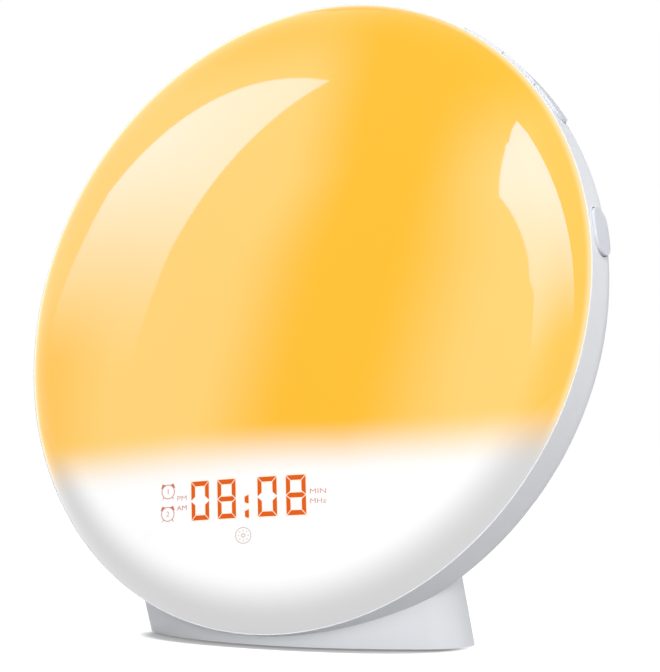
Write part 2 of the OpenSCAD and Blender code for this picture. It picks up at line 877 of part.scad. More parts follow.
module board_link() color("black") on_face() {
    translate([-link_w / 2, link_y - link_t / 2, main_front_z])
        cube([link_w, link_t, plate_z - main_front_z]);
}

// ---------------------------------------------------------------- main board

main_mid_y = -(main_top_drop + main_h / 2);
module at_main_screws() {
    for (x = [-1, 1]) for (y = [-1, 1]) translate([x * (main_w / 2 - main_screw_inset),
        main_mid_y + y * (main_h / 2 - main_screw_inset), 0]) children();
}

module main_board() color("darkgreen") on_face() {
    difference() {
        translate([-main_w / 2, main_mid_y - main_h / 2, main_back_z]) cube([main_w, main_h, main_t]);
        at_main_screws() translate([0, 0, main_front_z + main_t]) screw_hole(3 * main_t);
    }
}

// Stands children on the board's back, their place given as shares of its half width and half height
module on_board_back(across, up) {
    translate([across * main_w / 2, main_mid_y + up * main_h / 2, main_back_z]) mirror([0, 0, 1])
        children();
}

// Sizes of what the main board carries: width, height up the board, thickness
controller_size = [12, 12, 1.4];
amplifier_size = [6, 10, 1.4];
memory_size = [4, 5, 1.4];
tuner_size = [11, 14, 2.6];
connector_size = [10, 5.6, 6.5];
connector_wall = 1;
connector_floor = 2;
capacitor_r = 3.1;
capacitor_h = 8;

module chip(size) { translate([-size[0] / 2, -size[1] / 2, 0]) cube(size); }

module board_chips() color("black") on_face() {
    on_board_back(-0.40, -0.57) chip(controller_size);
    on_board_back(0.17, -0.67) chip(amplifier_size);
    on_board_back(0.51, -0.57) chip(memory_size);
}

module tuner_can() color("silver") on_face() on_board_back(-0.69, 0.14) chip(tuner_size);

module board_capacitors() color("midnightblue") on_face() {
    for (x = [-0.17, 0.11, 0.77]) on_board_back(x, 0.14) cylinder(r = capacitor_r, h = capacitor_h);
}

module board_connectors() color("ivory") on_face() {
    for (x = [-0.51, -0.11, 0.29]) on_board_back(x, 0.71) difference() {
        chip(connector_size);
        translate([0, 0, connector_floor])
            chip([connector_size[0] - 2 * connector_wall, connector_size[1] - 2 * connector_wall,
                connector_size[2]]);
    }
}

module board_screws() color("silver") on_face() {
    at_main_screws() translate([0, 0, main_back_z]) mirror([0, 0, 1]) screw(main_t + main_screw_grip);
}

// ---------------------------------------------------------------- sockets

outer_wall_z = -back_depth;
socket_proud = 0.3;
socket_shoulder = 2;
socket_shoulder_t = 1.5;
bush_head_t = 1.2;

module power_inlet() color("black") on_face() at_inlet() {
    front_z = outer_wall_z - socket_proud;
    difference() {
        union() {
            translate([0, 0, front_z]) cylinder(r = inlet_r, h = inlet_bore_length + 2 * inlet_pin_r);
            translate([0, 0, back_wall_z]) cylinder(r = inlet_r + socket_shoulder, h = socket_shoulder_t);
        }
        translate([0, 0, front_z - eps]) cylinder(r = inlet_bore_r, h = inlet_bore_length + eps);
    }
}

module power_inlet_pin() color("gold") on_face() at_inlet() {
    pin_setback = 0.8;
    translate([0, 0, outer_wall_z - socket_proud + pin_setback])
        cylinder(r = inlet_pin_r, h = inlet_bore_length - pin_setback);
}

module aerial_bush() color("black") on_face() at_bush() {
    difference() {
        union() {
            translate([0, 0, outer_wall_z - bush_head_t]) cylinder(r = bush_r + 1, h = bush_head_t);
            translate([0, 0, outer_wall_z - eps]) cylinder(r = bush_r, h = housing_wall + 2 * eps);
            translate([0, 0, back_wall_z]) cylinder(r = bush_r + socket_shoulder, h = socket_shoulder_t);
        }
        translate([0, 0, -2 * back_depth]) cylinder(r = bush_bore_r, h = 2 * back_depth);
    }
}

// ---------------------------------------------------------------- speaker

flange_back_z = back_wall_z + gasket_t;
flange_front_z = flange_back_z + speaker_flange_t;
basket_front_z = flange_front_z + basket_depth;
basket_wall = 1;
surround_r = speaker_r - 2 * screw_head_r - 1.5 * basket_wall;
roll_r = 1.5;
cone_r = surround_r - 2 * roll_r;
cone_rim_z = flange_back_z + 0.6;
basket_knee_z = flange_front_z + basket_depth / 4;

module speaker_gasket() color("dimgray") on_face() at_speaker() {
    translate([0, 0, back_wall_z]) difference() {
        cylinder(r = speaker_r, h = gasket_t);
        translate([0, 0, -1]) cylinder(r = surround_r, h = gasket_t + 2);
        round_speaker() cylinder(r = screw_r + bore_gap, h = 3 * gasket_t, center = true);
    }
}

module speaker_frame() color("darkgray") on_face() at_speaker() {
    difference() {
        rotate_extrude() {
            translate([surround_r, flange_back_z]) square([speaker_r - surround_r, speaker_flange_t]);
            polygon([[surround_r, flange_back_z], [surround_r + basket_wall, flange_back_z],
                [surround_r + basket_wall, basket_knee_z], [magnet_r + basket_wall, basket_front_z],
                [magnet_r / 2, basket_front_z], [magnet_r / 2, basket_front_z - basket_wall],
                [magnet_r, basket_front_z - basket_wall], [surround_r, basket_knee_z]]);
        }
        round_speaker() translate([0, 0, flange_back_z])
            cylinder(r = screw_r + bore_gap, h = 3 * speaker_flange_t, center = true);
        for (a = [0:90:270]) rotate([0, 0, a])
            translate([magnet_r + 1.5 * basket_wall, -magnet_r / 3, flange_front_z + basket_wall / 2])
                cube([speaker_r, magnet_r * 2 / 3, basket_depth - 3 * basket_wall]);
    }
}

module speaker_magnet() color("dimgray") on_face() at_speaker() {
    translate([0, 0, basket_front_z]) cylinder(r = magnet_r, h = magnet_t);
}

// Paper cone, dust cap and voice coil former in one
module speaker_cone() color("black") on_face() at_speaker() {
    paper_t = 0.5;
    coil_r = 5;
    former_t = 1.2;
    neck_z = cone_rim_z + basket_depth * 5 / 8;
    rotate_extrude() {
        polygon([[cone_r, cone_rim_z], [cone_r, cone_rim_z + paper_t],
            [coil_r, neck_z + paper_t], [coil_r, neck_z]]);
        translate([0, neck_z - paper_t]) square([coil_r + eps, 2 * paper_t]);
        translate([coil_r - former_t, neck_z])
            square([former_t, basket_front_z - basket_wall - running_gap - neck_z]);
    }
}

module speaker_surround() color("darkslategray") on_face() at_speaker() {
    rubber_t = 0.5;
    rotate_extrude() translate([cone_r + roll_r, cone_rim_z]) difference() {
        circle(roll_r - bore_gap, $fn = 48);
        circle(roll_r - bore_gap - rubber_t, $fn = 48);
        translate([-big, 0]) mirror([0, 1]) square([2 * big, big]);
    }
}

module speaker_screws() color("silver") on_face() {
    at_speaker_screws() translate([0, 0, flange_front_z])
        screw(speaker_flange_t + gasket_t + housing_wall - screw_floor - bore_gap);
}

// ---------------------------------------------------------------- keys and their switches

module right_key_board() color("darkgreen") on_face() right_group() key_board(group_length);
module right_side_board() color("darkgreen") on_face() right_side() key_board(side_length);
module left_key_board() color("darkgreen") on_face() left_half() right_group() key_board(group_length);
module left_side_board() color("darkgreen") on_face() left_half() right_side() key_board(side_length);
module snooze_board() color("darkgreen") on_face() top_run() key_board(top_length);

module side_switches() {
    right_group() for (i = [0:2]) translate([0, group_mid(i), 0]) switch_body();
    right_side() switch_body();
}

module key_switches() color("black") on_face() {
    side_switches();
    left_half() side_switches();
    top_run() switch_body();
}

module right_lower_key() color("white") on_face() right_group() group_key(0);
module right_middle_key() color("white") on_face() right_group() group_key(1);
module right_upper_key() color("white") on_face() right_group() group_key(2);
module right_side_key() color("white") on_face() right_side() single_key(side_length);
module left_lower_key() color("white") on_face() left_half() right_group() group_key(0);
module left_middle_key() color("white") on_face() left_half() right_group() group_key(1);
module left_upper_key() color("white") on_face() left_half() right_group() group_key(2);
module left_side_key() color("white") on_face() left_half() right_side() single_key(side_length);
module snooze_key() color("white") on_face() top_run() single_key(top_length);

module group_stem(index) { translate([0, group_mid(index), 0]) switch_stem(); }

module right_lower_stem() color("brown") on_face() right_group() group_stem(0);
module right_middle_stem() color("brown") on_face() right_group() group_stem(1);
module right_upper_stem() color("brown") on_face() right_group() group_stem(2);
module right_side_stem() color("brown") on_face() right_side() switch_stem();
module left_lower_stem() color("brown") on_face() left_half() right_group() group_stem(0);
module left_middle_stem() color("brown") on_face() left_half() right_group() group_stem(1);
module left_upper_stem() color("brown") on_face() left_half() right_group() group_stem(2);
module left_side_stem() color("brown") on_face() left_half() right_side() switch_stem();
module snooze_stem() color("brown") on_face() top_run() switch_stem();

light_diffuser();
rear_housing();
base_plate();
foot_pad();
base_screws();
reflector_plate();
chassis_screws();
light_divider();
light_board();
light_leds();
light_screws();
display_board();
digit_module();
digit_segments();
display_shroud();
touch_pillar();
board_link();
main_board();
board_chips();
tuner_can();
board_capacitors();
board_connectors();
board_screws();
power_inlet();
power_inlet_pin();
aerial_bush();
speaker_frame();
speaker_magnet();
speaker_cone();
speaker_surround();
speaker_gasket();
speaker_screws();
right_key_board();
right_side_board();
left_key_board();
left_side_board();
snooze_board();
key_switches();
right_upper_key();
right_middle_key();
right_lower_key();
right_side_key();
left_upper_key();
left_middle_key();
left_lower_key();
left_side_key();
snooze_key();
right_upper_stem();
right_middle_stem();
right_lower_stem();
right_side_stem();
left_upper_stem();
left_middle_stem();
left_lower_stem();
left_side_stem();
snooze_stem();
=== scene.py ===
"""Dresses the sunrise alarm clock: lit cover, numerals, marks, shell, keys, inner parts and the studio."""
import math

import bmesh
import bpy
from bpy.props import FloatProperty, FloatVectorProperty, IntProperty, PointerProperty, StringProperty
from mathutils import Matrix, Vector


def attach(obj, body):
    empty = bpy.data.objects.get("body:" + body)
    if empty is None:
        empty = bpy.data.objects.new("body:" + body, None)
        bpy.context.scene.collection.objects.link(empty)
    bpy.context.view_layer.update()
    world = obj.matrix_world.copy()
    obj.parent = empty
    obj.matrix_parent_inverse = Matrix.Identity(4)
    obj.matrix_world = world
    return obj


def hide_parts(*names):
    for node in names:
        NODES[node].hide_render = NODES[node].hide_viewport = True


bl_info = {
    "name": "Sunrise Alarm Clock",
    "version": (1, 0, 0),
    "blender": (4, 5, 0),
    "location": "3D View > Sidebar > Alarm Clock",
    "description": "Builds the lit cover, numerals, shell finishes and studio of a sunrise alarm clock",
    "category": "Object",
}

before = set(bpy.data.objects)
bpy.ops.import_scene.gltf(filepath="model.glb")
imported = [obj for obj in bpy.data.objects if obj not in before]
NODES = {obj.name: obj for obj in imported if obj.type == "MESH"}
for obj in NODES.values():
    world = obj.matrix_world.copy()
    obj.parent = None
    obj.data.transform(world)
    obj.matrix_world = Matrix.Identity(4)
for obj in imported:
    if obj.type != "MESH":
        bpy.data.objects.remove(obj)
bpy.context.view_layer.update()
MM = 0.001

# The face frame: x right, y up the face, z out of it, its origin in the middle of the seam
TILT = math.radians(12)
FACE_ORIGIN = Vector((0, -10, 91.897)) * MM
FACE = Matrix.Translation(FACE_ORIGIN) @ Matrix.Rotation(math.radians(90) - TILT, 4, "X")

# Outline of the light cover in the face frame, in millimetres
SEAM_R = 90.0
COVER_RISE = 16.0
COVER_WALL = 2.2
SHOULDER_R = 22.0
# Angle from the axis at which the shoulder ends on the seam
SHOULDER_END = math.radians(50)
SHOULDER_X = SEAM_R - SHOULDER_R * math.sin(SHOULDER_END)
SHOULDER_Z = -SHOULDER_R * math.cos(SHOULDER_END)
CROWN_R = ((SHOULDER_X ** 2 + (SHOULDER_Z - COVER_RISE) ** 2 - SHOULDER_R ** 2)
           / (2 * (COVER_RISE - SHOULDER_Z - SHOULDER_R)))
CROWN_Z = COVER_RISE - CROWN_R
CROWN_ANGLE = math.atan2(SHOULDER_X, SHOULDER_Z - CROWN_Z)
# Room for the flat facets inside the true outline
FACET_ROOM = 0.02
SKIRT_R, SKIRT_WALL, SKIRT_LENGTH = 88.95, 1.2, 3.0
# Where the shoulder's inside ends above the seam
INNER_FOOT = 0.3
# Keys and groups of keys: angle on the rim in degrees and length along it
KEY_RUNS = ((90.0, 38.0), (47.5, 44.0), (132.5, 44.0), (11.6, 13.0), (168.4, 13.0))


def cover_height(x, y):
    """Height of the cover's outer surface above the seam plane, in millimetres."""
    r = math.hypot(x, y)
    if r <= CROWN_R * math.sin(CROWN_ANGLE):
        return CROWN_Z + math.sqrt(CROWN_R ** 2 - r ** 2)
    return SHOULDER_Z + math.sqrt(max(SHOULDER_R ** 2 - (r - SHOULDER_X) ** 2, 0.0))


# --- settings

def length(name, description, default, low=0.0, high=1000.0):
    return FloatProperty(name=name, description=description, default=default * MM, min=low * MM,
                         max=high * MM, subtype="DISTANCE", unit="LENGTH", precision=5)


def colour(name, description, default):
    return FloatVectorProperty(name=name, description=description, default=default, size=3, min=0, max=1,
                               subtype="COLOR")


def number(name, description, default, high):
    return FloatProperty(name=name, description=description, default=default, min=0, max=high)


def from_screen(r, g, b):
    """Turns a colour written in 0 to 255 into Blender's linear values."""
    return tuple(v / 12.92 if v <= 0.04045 else ((v + 0.055) / 1.055) ** 2.4
                 for v in (r / 255, g / 255, b / 255))


class LampSettings(bpy.types.PropertyGroup):
    core: colour("Core Colour", "Amber in the strongest part of the lit field", from_screen(255, 188, 18))
    haze: colour("Haze Colour", "Paler amber beside the core", from_screen(254, 208, 109))
    rim: colour("Rim Colour", "Cream at the edge of the lit field", from_screen(255, 226, 170))
    display: colour("Display Colour", "White of the field behind the numerals", from_screen(255, 255, 255))
    edge_of_light: length("Edge of Light", "Distance of the amber field's edge below the middle", 44.6)
    softness: length("Softness", "Half width of the blend between the two fields", 8.0)
    segments: IntProperty(name="Segments", description="Steps round the cover", default=256, min=64, max=512)


class DisplaySettings(bpy.types.PropertyGroup):
    lit: colour("Lit Colour", "Colour of the lit bars", from_screen(217, 93, 28))
    halo: colour("Halo Colour", "Faint glow round the lit bars", from_screen(248, 232, 215))
    mark: colour("Mark Colour", "Bells and the word that is on", from_screen(198, 112, 98))
    outline: colour("Outline Colour", "Rings, figures and the words that are off", from_screen(208, 150, 136))
    touch: colour("Touch Colour", "Rings and dots of the touch mark", from_screen(204, 182, 178))
    digit_height: length("Digit Height", "Height of one numeral", 10.25)
    digit_width: length("Digit Width", "Width of one numeral", 5.9)
    bar_width: length("Bar Width", "Width of one lit bar", 1.26)
    bar_gap: length("Bar Gap", "Gap between neighbouring bars", 0.2)
    lift: length("Lift", "How far the lit marks lie above the cover", 0.016)
    time: StringProperty(name="Time", description="Four figures shown by the display", default="0808")


class ShellSettings(bpy.types.PropertyGroup):
    shell: colour("Shell Colour", "White of the housing and the foot", from_screen(237, 239, 243))
    key: colour("Key Colour", "Plastic of the keys", from_screen(222, 225, 231))
    rubber: colour("Rubber Colour", "Foot pad and bushes", from_screen(58, 58, 60))
    board: colour("Board Colour", "Lacquer of the circuit boards", from_screen(24, 92, 52))


class StageSettings(bpy.types.PropertyGroup):
    # The floor's darker patch round the foot is a painted shadow shaped to the foot; the real shadow of the
    # lamps shows through it
    shadow_patch_half_width: length("Patch Half Width", "Half width of the floor's darker patch", 48.0)
    shadow_patch_half_depth: length("Patch Half Depth", "Half depth of the floor's darker patch", 23.0)
    shadow_patch_forward: length("Patch Forward", "How far the patch lies before the foot's middle", 6.0)
    floor: colour("Floor Colour", "Pale floor", (0.4, 0.4, 0.4))
    daylight: number("Daylight", "Strength of the even light", 0.41, 2)
    key_watts: number("Key Lamp", "Power of the main lamp", 14.0, 50)
    side_watts: number("Side Lamp", "Power of the side lamp", 5.0, 50)
    top_watts: number("Top Lamp", "Power of the lamp above", 6.0, 50)
    back_watts: number("Back Lamp", "Power of the lamp behind", 6.0, 50)
    side_card: number("Side Card", "Brightness of the card that the cover's left side mirrors", 9.0, 60)
    front_card: number("Front Card", "Brightness of the card that the cover's right side mirrors", 14.4, 60)
    rear_card: number("Rear Card", "Brightness of the card behind the clock", 1.0, 60)


# --- node helpers

def link(tree, source, target):
    tree.links.new(source, target)


def node(tree, kind, **values):
    """Adds a node and sets its properties and, given as in_ and a number, its inputs."""
    made = tree.nodes.new(kind)
    for key, value in values.items():
        if key.startswith("in_"):
            made.inputs[int(key[3:])].default_value = value
        else:
            setattr(made, key, value)
    return made


def maths(tree, operation, a, b=None, c=None, clamp=False):
    made = node(tree, "ShaderNodeMath", operation=operation, use_clamp=clamp)
    for index, value in enumerate((a, b, c)):
        if value is None:
            continue
        if isinstance(value, (int, float)):
            made.inputs[index].default_value = value
        else:
            link(tree, value, made.inputs[index])
    return made.outputs[0]


def times(tree, a, b):
    return maths(tree, "MULTIPLY", a, b)


def span(tree, a, b):
    """Root of the sum of two squares."""
    return maths(tree, "SQRT", maths(tree, "ADD", times(tree, a, a), times(tree, b, b)))


def ramp_between(tree, value, low, high):
    """Smooth step of value from 0 at low to 1 at high."""
    made = node(tree, "ShaderNodeMapRange", interpolation_type="SMOOTHSTEP")
    for index, item in ((0, value), (1, low), (2, high)):
        if isinstance(item, (int, float)):
            made.inputs[index].default_value = item
        else:
            link(tree, item, made.inputs[index])
    return made.outputs[0]


def mix(tree, amount, a, b, blend="MIX"):
    made = node(tree, "ShaderNodeMix", data_type="RGBA", blend_type=blend)
    for index, item in ((0, amount), (6, a), (7, b)):
        if isinstance(item, (int, float)):
            made.inputs[index].default_value = item
        elif isinstance(item, tuple):
            made.inputs[index].default_value = (*item, 1.0)
        else:
            link(tree, item, made.inputs[index])
    return made.outputs[2]


def group(name, inputs, outputs, tree_kind="ShaderNodeTree"):
    """Empty node group with its sockets, each given as (name, socket type, default)."""
    tree = bpy.data.node_groups.new(name, tree_kind)
    for direction, sockets in (("INPUT", inputs), ("OUTPUT", outputs)):
        for label, kind, default in sockets:
            socket = tree.interface.new_socket(label, in_out=direction, socket_type=f"NodeSocket{kind}")
            if default is not None:
                socket.default_value = default
    return tree, tree.nodes.new("NodeGroupInput").outputs, tree.nodes.new("NodeGroupOutput").inputs


def place_group(tree, name, **values):
    made = node(tree, "ShaderNodeGroup", node_tree=bpy.data.node_groups[name])
    for key, value in values.items():
        socket = made.inputs[key.replace("_", " ")]
        if hasattr(value, "links"):
            link(tree, value, socket)
        else:
            socket.default_value = (*value, 1.0) if isinstance(value, tuple) else value
    return made.outputs


def new_material(name, **shader_values):
    """Material with a Principled shader, its plain values set on the shader's own sockets."""
    made = bpy.data.materials.new(name)
    made.use_nodes = True
    shader = made.node_tree.nodes["Principled BSDF"]
    for key, value in shader_values.items():
        shader.inputs[key.replace("_", " ")].default_value = value
    return made, made.node_tree, shader


def bump(tree, shader, height, strength, distance):
    made = node(tree, "ShaderNodeBump", in_0=strength, in_1=distance)
    link(tree, height, made.inputs["Height"])
    link(tree, made.outputs[0], shader.inputs["Normal"])


def bare_tree(owner):
    """Empty node tree of a material or world."""
    owner.use_nodes = True
    owner.node_tree.nodes.clear()
    return owner.node_tree


def blend_shaders(tree, amount, first, second):
    choose = tree.nodes.new("ShaderNodeMixShader")
    for index, item in enumerate((amount, first.outputs[0], second.outputs[0])):
        link(tree, item, choose.inputs[index])
    return choose.outputs[0]


def object_coords(tree):
    return tree.nodes.new("ShaderNodeTexCoord").outputs["Object"]


def split_coords(tree, vector):
    """The x, y and z of a vector."""
    parts = tree.nodes.new("ShaderNodeSeparateXYZ")
    link(tree, vector, parts.inputs[0])
    return parts.outputs


def face_coords(tree):
    """Object coordinates turned into the face frame."""
    back = FACE.inverted()
    turn = node(tree, "ShaderNodeMapping", vector_type="POINT")
    turn.inputs["Location"].default_value = back.translation
    turn.inputs["Rotation"].default_value = back.to_euler()
    link(tree, object_coords(tree), turn.inputs["Vector"])
    return turn.outputs[0]


# --- shared effects

FINISH = (("Color", "Color", None), ("Roughness", "Float", None),
          ("Height", "Float", None))

def make_moulded_group():
    """Fine grain, slow tone drift and sheen drift of moulded plastic or rubber."""
    tree, given, out = group("Moulded Skin", (
        ("Vector", "Vector", None), ("Tint", "Color", (0.8, 0.8, 0.8, 1)),
        ("Drift", "Float", 0.03), ("Gloss", "Float", 0.4),
        ("Grain Size", "Float", 1500.0)), FINISH)
    slow = node(tree, "ShaderNodeTexNoise", in_2=22.0, in_3=3.0)
    link(tree, given["Vector"], slow.inputs["Vector"])
    fine = node(tree, "ShaderNodeTexNoise", in_3=2.0)
    link(tree, given["Vector"], fine.inputs["Vector"])
    link(tree, given["Grain Size"], fine.inputs["Scale"])
    centred = maths(tree, "SUBTRACT", slow.outputs["Fac"], 0.5)
    shade = maths(tree, "MULTIPLY_ADD", centred, given["Drift"], 1.0)
    grey = node(tree, "ShaderNodeCombineColor")
    for index in range(3):
        link(tree, shade, grey.inputs[index])
    link(tree, mix(tree, 1.0, given["Tint"], grey.outputs[0], "MULTIPLY"), out["Color"])
    link(tree, maths(tree, "MULTIPLY_ADD", centred, 0.12, given["Gloss"]), out["Roughness"])
    link(tree, maths(tree, "MULTIPLY_ADD", slow.outputs["Fac"], 0.4, fine.outputs["Fac"]), out["Height"])


def make_plated_group():
    """Drawn streaks of plated metal."""
    tree, given, out = group("Plated Metal", (
        ("Vector", "Vector", None), ("Tint", "Color", (0.7, 0.7, 0.7, 1)),
        ("Streak Size", "Float", 900.0), ("Gloss", "Float", 0.3)), FINISH)
    stretch = node(tree, "ShaderNodeMapping", vector_type="POINT")
    stretch.inputs["Scale"].default_value = (1.0, 1.0, 0.06)
    link(tree, given["Vector"], stretch.inputs["Vector"])
    streaks = node(tree, "ShaderNodeTexNoise", in_3=4.0)
    link(tree, stretch.outputs[0], streaks.inputs["Vector"])
    link(tree, given["Streak Size"], streaks.inputs["Scale"])
    dark = mix(tree, 0.25, given["Tint"], (0.25, 0.25, 0.26))
    link(tree, mix(tree, streaks.outputs["Fac"], dark, given["Tint"]), out["Color"])
    centred = maths(tree, "SUBTRACT", streaks.outputs["Fac"], 0.5)
    link(tree, maths(tree, "MULTIPLY_ADD", centred, 0.3, given["Gloss"]), out["Roughness"])
    link(tree, streaks.outputs["Fac"], out["Height"])


def make_board_group():
    """Lacquered circuit board: copper tracks under the lacquer and a faint glass weave."""
    tree, given, out = group("Board Lacquer", (
        ("Vector", "Vector", None), ("Tint", "Color", (0.02, 0.12, 0.04, 1)),
        ("Track Pitch", "Float", 320.0)), FINISH)
    cells = node(tree, "ShaderNodeTexVoronoi", distance="CHEBYCHEV", feature="DISTANCE_TO_EDGE")
    link(tree, given["Vector"], cells.inputs["Vector"])
    link(tree, given["Track Pitch"], cells.inputs["Scale"])
    track = ramp_between(tree, cells.outputs["Distance"], 0.10, 0.04)
    weave = node(tree, "ShaderNodeTexChecker", in_3=2600.0)
    link(tree, given["Vector"], weave.inputs["Vector"])
    lighter = mix(tree, 0.35, given["Tint"], (0.55, 0.60, 0.35))
    woven = mix(tree, 0.06, given["Tint"], weave.outputs["Color"])
    link(tree, mix(tree, track, woven, lighter), out["Color"])
    link(tree, maths(tree, "MULTIPLY_ADD", track, -0.08, 0.38), out["Roughness"])
    link(tree, maths(tree, "MULTIPLY_ADD", weave.outputs["Fac"], 0.1, track), out["Height"])


def make_glow_group():
    """Light that leaves the cover: amber field above, white field below with painted shade at its rim, the
    amber paler towards the rim.
    """
    tree, given, out = group("Sunrise Glow", (
        ("Face", "Vector", None), ("Core", "Color", None),
        ("Haze", "Color", None), ("Rim", "Color", None),
        ("Display", "Color", None), ("Edge", "Float", None),
        ("Softness", "Float", None)),
        (("Color", "Color", None), ("Amber", "Float", None)))
    x, y, _ = split_coords(tree, given["Face"])
    radius = span(tree, x, y)

    # The strongest band stands right of the middle and leans, with haze on both sides of it
    middle = maths(tree, "MULTIPLY_ADD", maths(tree, "MINIMUM", y, 0.032), 0.19, 0.0283)
    offset = maths(tree, "SUBTRACT", x, middle)
    narrow = maths(tree, "MULTIPLY_ADD", ramp_between(tree, y, 0.005, 0.035), 0.25, 1.0)
    haze = ramp_between(tree, maths(tree, "ABSOLUTE", times(tree, offset, narrow)), 0.008, 0.042)

    # The core colour fills the upper right and comes back along the edge, at the top and at the lower left
    clear = times(tree, ramp_between(tree, offset, 0.0, 0.012), ramp_between(tree, y, 0.028, 0.066))
    lower_left = times(tree, ramp_between(tree, x, -0.046, -0.078), ramp_between(tree, y, 0.012, -0.018))
    for part, share in ((ramp_between(tree, radius, 0.079, 0.087), 0.5), (lower_left, 0.62),
                        (ramp_between(tree, y, 0.060, 0.084), 0.62)):
        clear = maths(tree, "MAXIMUM", clear, times(tree, part, share))
    haze = times(tree, haze, maths(tree, "SUBTRACT", 1.0, clear))
    amber = mix(tree, haze, given["Core"], given["Haze"])
    rim_from = maths(tree, "MULTIPLY_ADD", x, 0.011, 0.0877)
    rim = times(tree, ramp_between(tree, radius, rim_from, 0.0899), 0.85)
    amber = mix(tree, rim, amber, given["Rim"])

    # White field with painted shade in its emitted colour: grey in a narrow band at the rim, where the dome's
    # edge turns away; the fields meet on a line that rises to the right
    ring = span(tree, maths(tree, "SUBTRACT", x, 0.0022), y)
    white = mix(tree, ramp_between(tree, ring, 0.0755, 0.0868), given["Display"], (0.66, 0.66, 0.66))
    right_part = maths(tree, "MAXIMUM", maths(tree, "SUBTRACT", x, 0.030), 0.0)
    left_part = maths(tree, "MAXIMUM", maths(tree, "SUBTRACT", -0.020, x), 0.0)
    lowered = maths(tree, "MULTIPLY_ADD", right_part, -0.11, maths(tree, "MULTIPLY_ADD", x, -0.02, y))
    lowered = maths(tree, "MULTIPLY_ADD", left_part, 0.05, lowered)
    lowered = maths(tree, "MULTIPLY_ADD", maths(tree, "SUBTRACT", 1.0, haze), -0.0016, lowered)
    edge = times(tree, given["Edge"], -1.0)
    lit = ramp_between(tree, lowered, maths(tree, "SUBTRACT", edge, given["Softness"]),
                       maths(tree, "ADD", edge, given["Softness"]))
    link(tree, mix(tree, lit, white, amber), out["Color"])
    link(tree, lit, out["Amber"])


# --- finishes

# Strength of the light that the cover, the marks and the diodes give
COVER_LIGHT, MARK_LIGHT, INNER_LIGHT = 0.74, 0.95, 0.8
# Share of the glow's colour that the cover's unlit plastic has
COVER_BODY = (0.26, 0.26, 0.26)


def use_finish(tree, shader, finish, strength, depth):
    """Links an effect's colour, roughness and height to the shader."""
    link(tree, finish["Color"], shader.inputs["Base Color"])
    link(tree, finish["Roughness"], shader.inputs["Roughness"])
    bump(tree, shader, finish["Height"], strength, depth)


def make_cover_material(lamp):
    made, tree, shader = new_material("Lit Cover", Roughness=0.03, IOR=1.47, Emission_Strength=COVER_LIGHT)
    glow = place_group(tree, "Sunrise Glow", Face=face_coords(tree), Core=tuple(lamp.core),
                       Haze=tuple(lamp.haze), Rim=tuple(lamp.rim), Display=tuple(lamp.display),
                       Edge=lamp.edge_of_light, Softness=lamp.softness)
    skin = place_group(tree, "Moulded Skin", Vector=object_coords(tree), Tint=(1.0, 1.0, 1.0), Drift=0.01,
                       Gloss=0.05, Grain_Size=700.0)
    body = mix(tree, 1.0, glow["Color"], skin["Color"], "MULTIPLY")
    link(tree, mix(tree, 1.0, body, COVER_BODY, "MULTIPLY"), shader.inputs["Base Color"])
    link(tree, glow["Color"], shader.inputs["Emission Color"])
    bump(tree, shader, skin["Height"], 0.02, 0.00002)
    return made


def make_skin_material(name, tint, gloss, drift=0.03, grain=1500.0, depth=0.00002, strength=0.3, **values):
    made, tree, shader = new_material(name, **values)
    skin = place_group(tree, "Moulded Skin", Vector=object_coords(tree), Tint=tuple(tint), Drift=drift,
                       Gloss=gloss, Grain_Size=grain)
    use_finish(tree, shader, skin, strength, depth)
    return made


def make_metal_material(name, tint, gloss):
    made, tree, shader = new_material(name, Metallic=1.0)
    metal = place_group(tree, "Plated Metal", Vector=object_coords(tree), Tint=tint, Gloss=gloss)
    use_finish(tree, shader, metal, 0.15, 0.00002)
    return made


def make_board_material(name, tint):
    made, tree, shader = new_material(name, Coat_Weight=0.4)
    board = place_group(tree, "Board Lacquer", Vector=object_coords(tree), Tint=tint)
    use_finish(tree, shader, board, 0.4, 0.00005)
    return made


def make_lit_material(name, tint, strength):
    """Colour of something that gives its own light and mirrors nothing."""
    made, tree, shader = new_material(name, Roughness=0.3, Specular_IOR_Level=0.0, Emission_Strength=strength)
    skin = place_group(tree, "Moulded Skin", Vector=object_coords(tree), Tint=tuple(tint), Drift=0.12,
                       Gloss=0.3, Grain_Size=2500.0)
    link(tree, mix(tree, 0.8, skin["Color"], (0.0, 0.0, 0.0)), shader.inputs["Base Color"])
    link(tree, skin["Color"], shader.inputs["Emission Color"])
    return made


def dress(names, material):
    """Gives CAD nodes a finish."""
    for name in names:
        for slot in NODES[name].material_slots:
            slot.material = material


# --- geometry helpers

def add_object(name, mesh, *materials):
    made = bpy.data.objects.new(name, mesh)
    bpy.context.scene.collection.objects.link(made)
    for material in materials:
        mesh.materials.append(material)
    return made


def mesh_from(name, verts, edges=(), faces=()):
    made = bpy.data.meshes.new(name)
    made.from_pydata([tuple(v) for v in verts], list(edges), list(faces))
    return made


def polyline(name, outline):
    """Open line through the points of an outline."""
    return mesh_from(name, [(x, y, 0) for x, y in outline], [(i, i + 1) for i in range(len(outline) - 1)])


def geometry_tree(name, inputs):
    """Empty geometry group that takes and gives a geometry."""
    geometry = ("Geometry", "Geometry", None)
    return group(name, (geometry, *inputs), (geometry,), "GeometryNodeTree")


def finish_tree(tree, geometry, material, out):
    """Ends a tree in Realize Instances and Set Material."""
    real = tree.nodes.new("GeometryNodeRealizeInstances")
    link(tree, geometry, real.inputs[0])
    paint = tree.nodes.new("GeometryNodeSetMaterial")
    link(tree, real.outputs[0], paint.inputs["Geometry"])
    link(tree, material, paint.inputs["Material"])
    link(tree, paint.outputs[0], out["Geometry"])


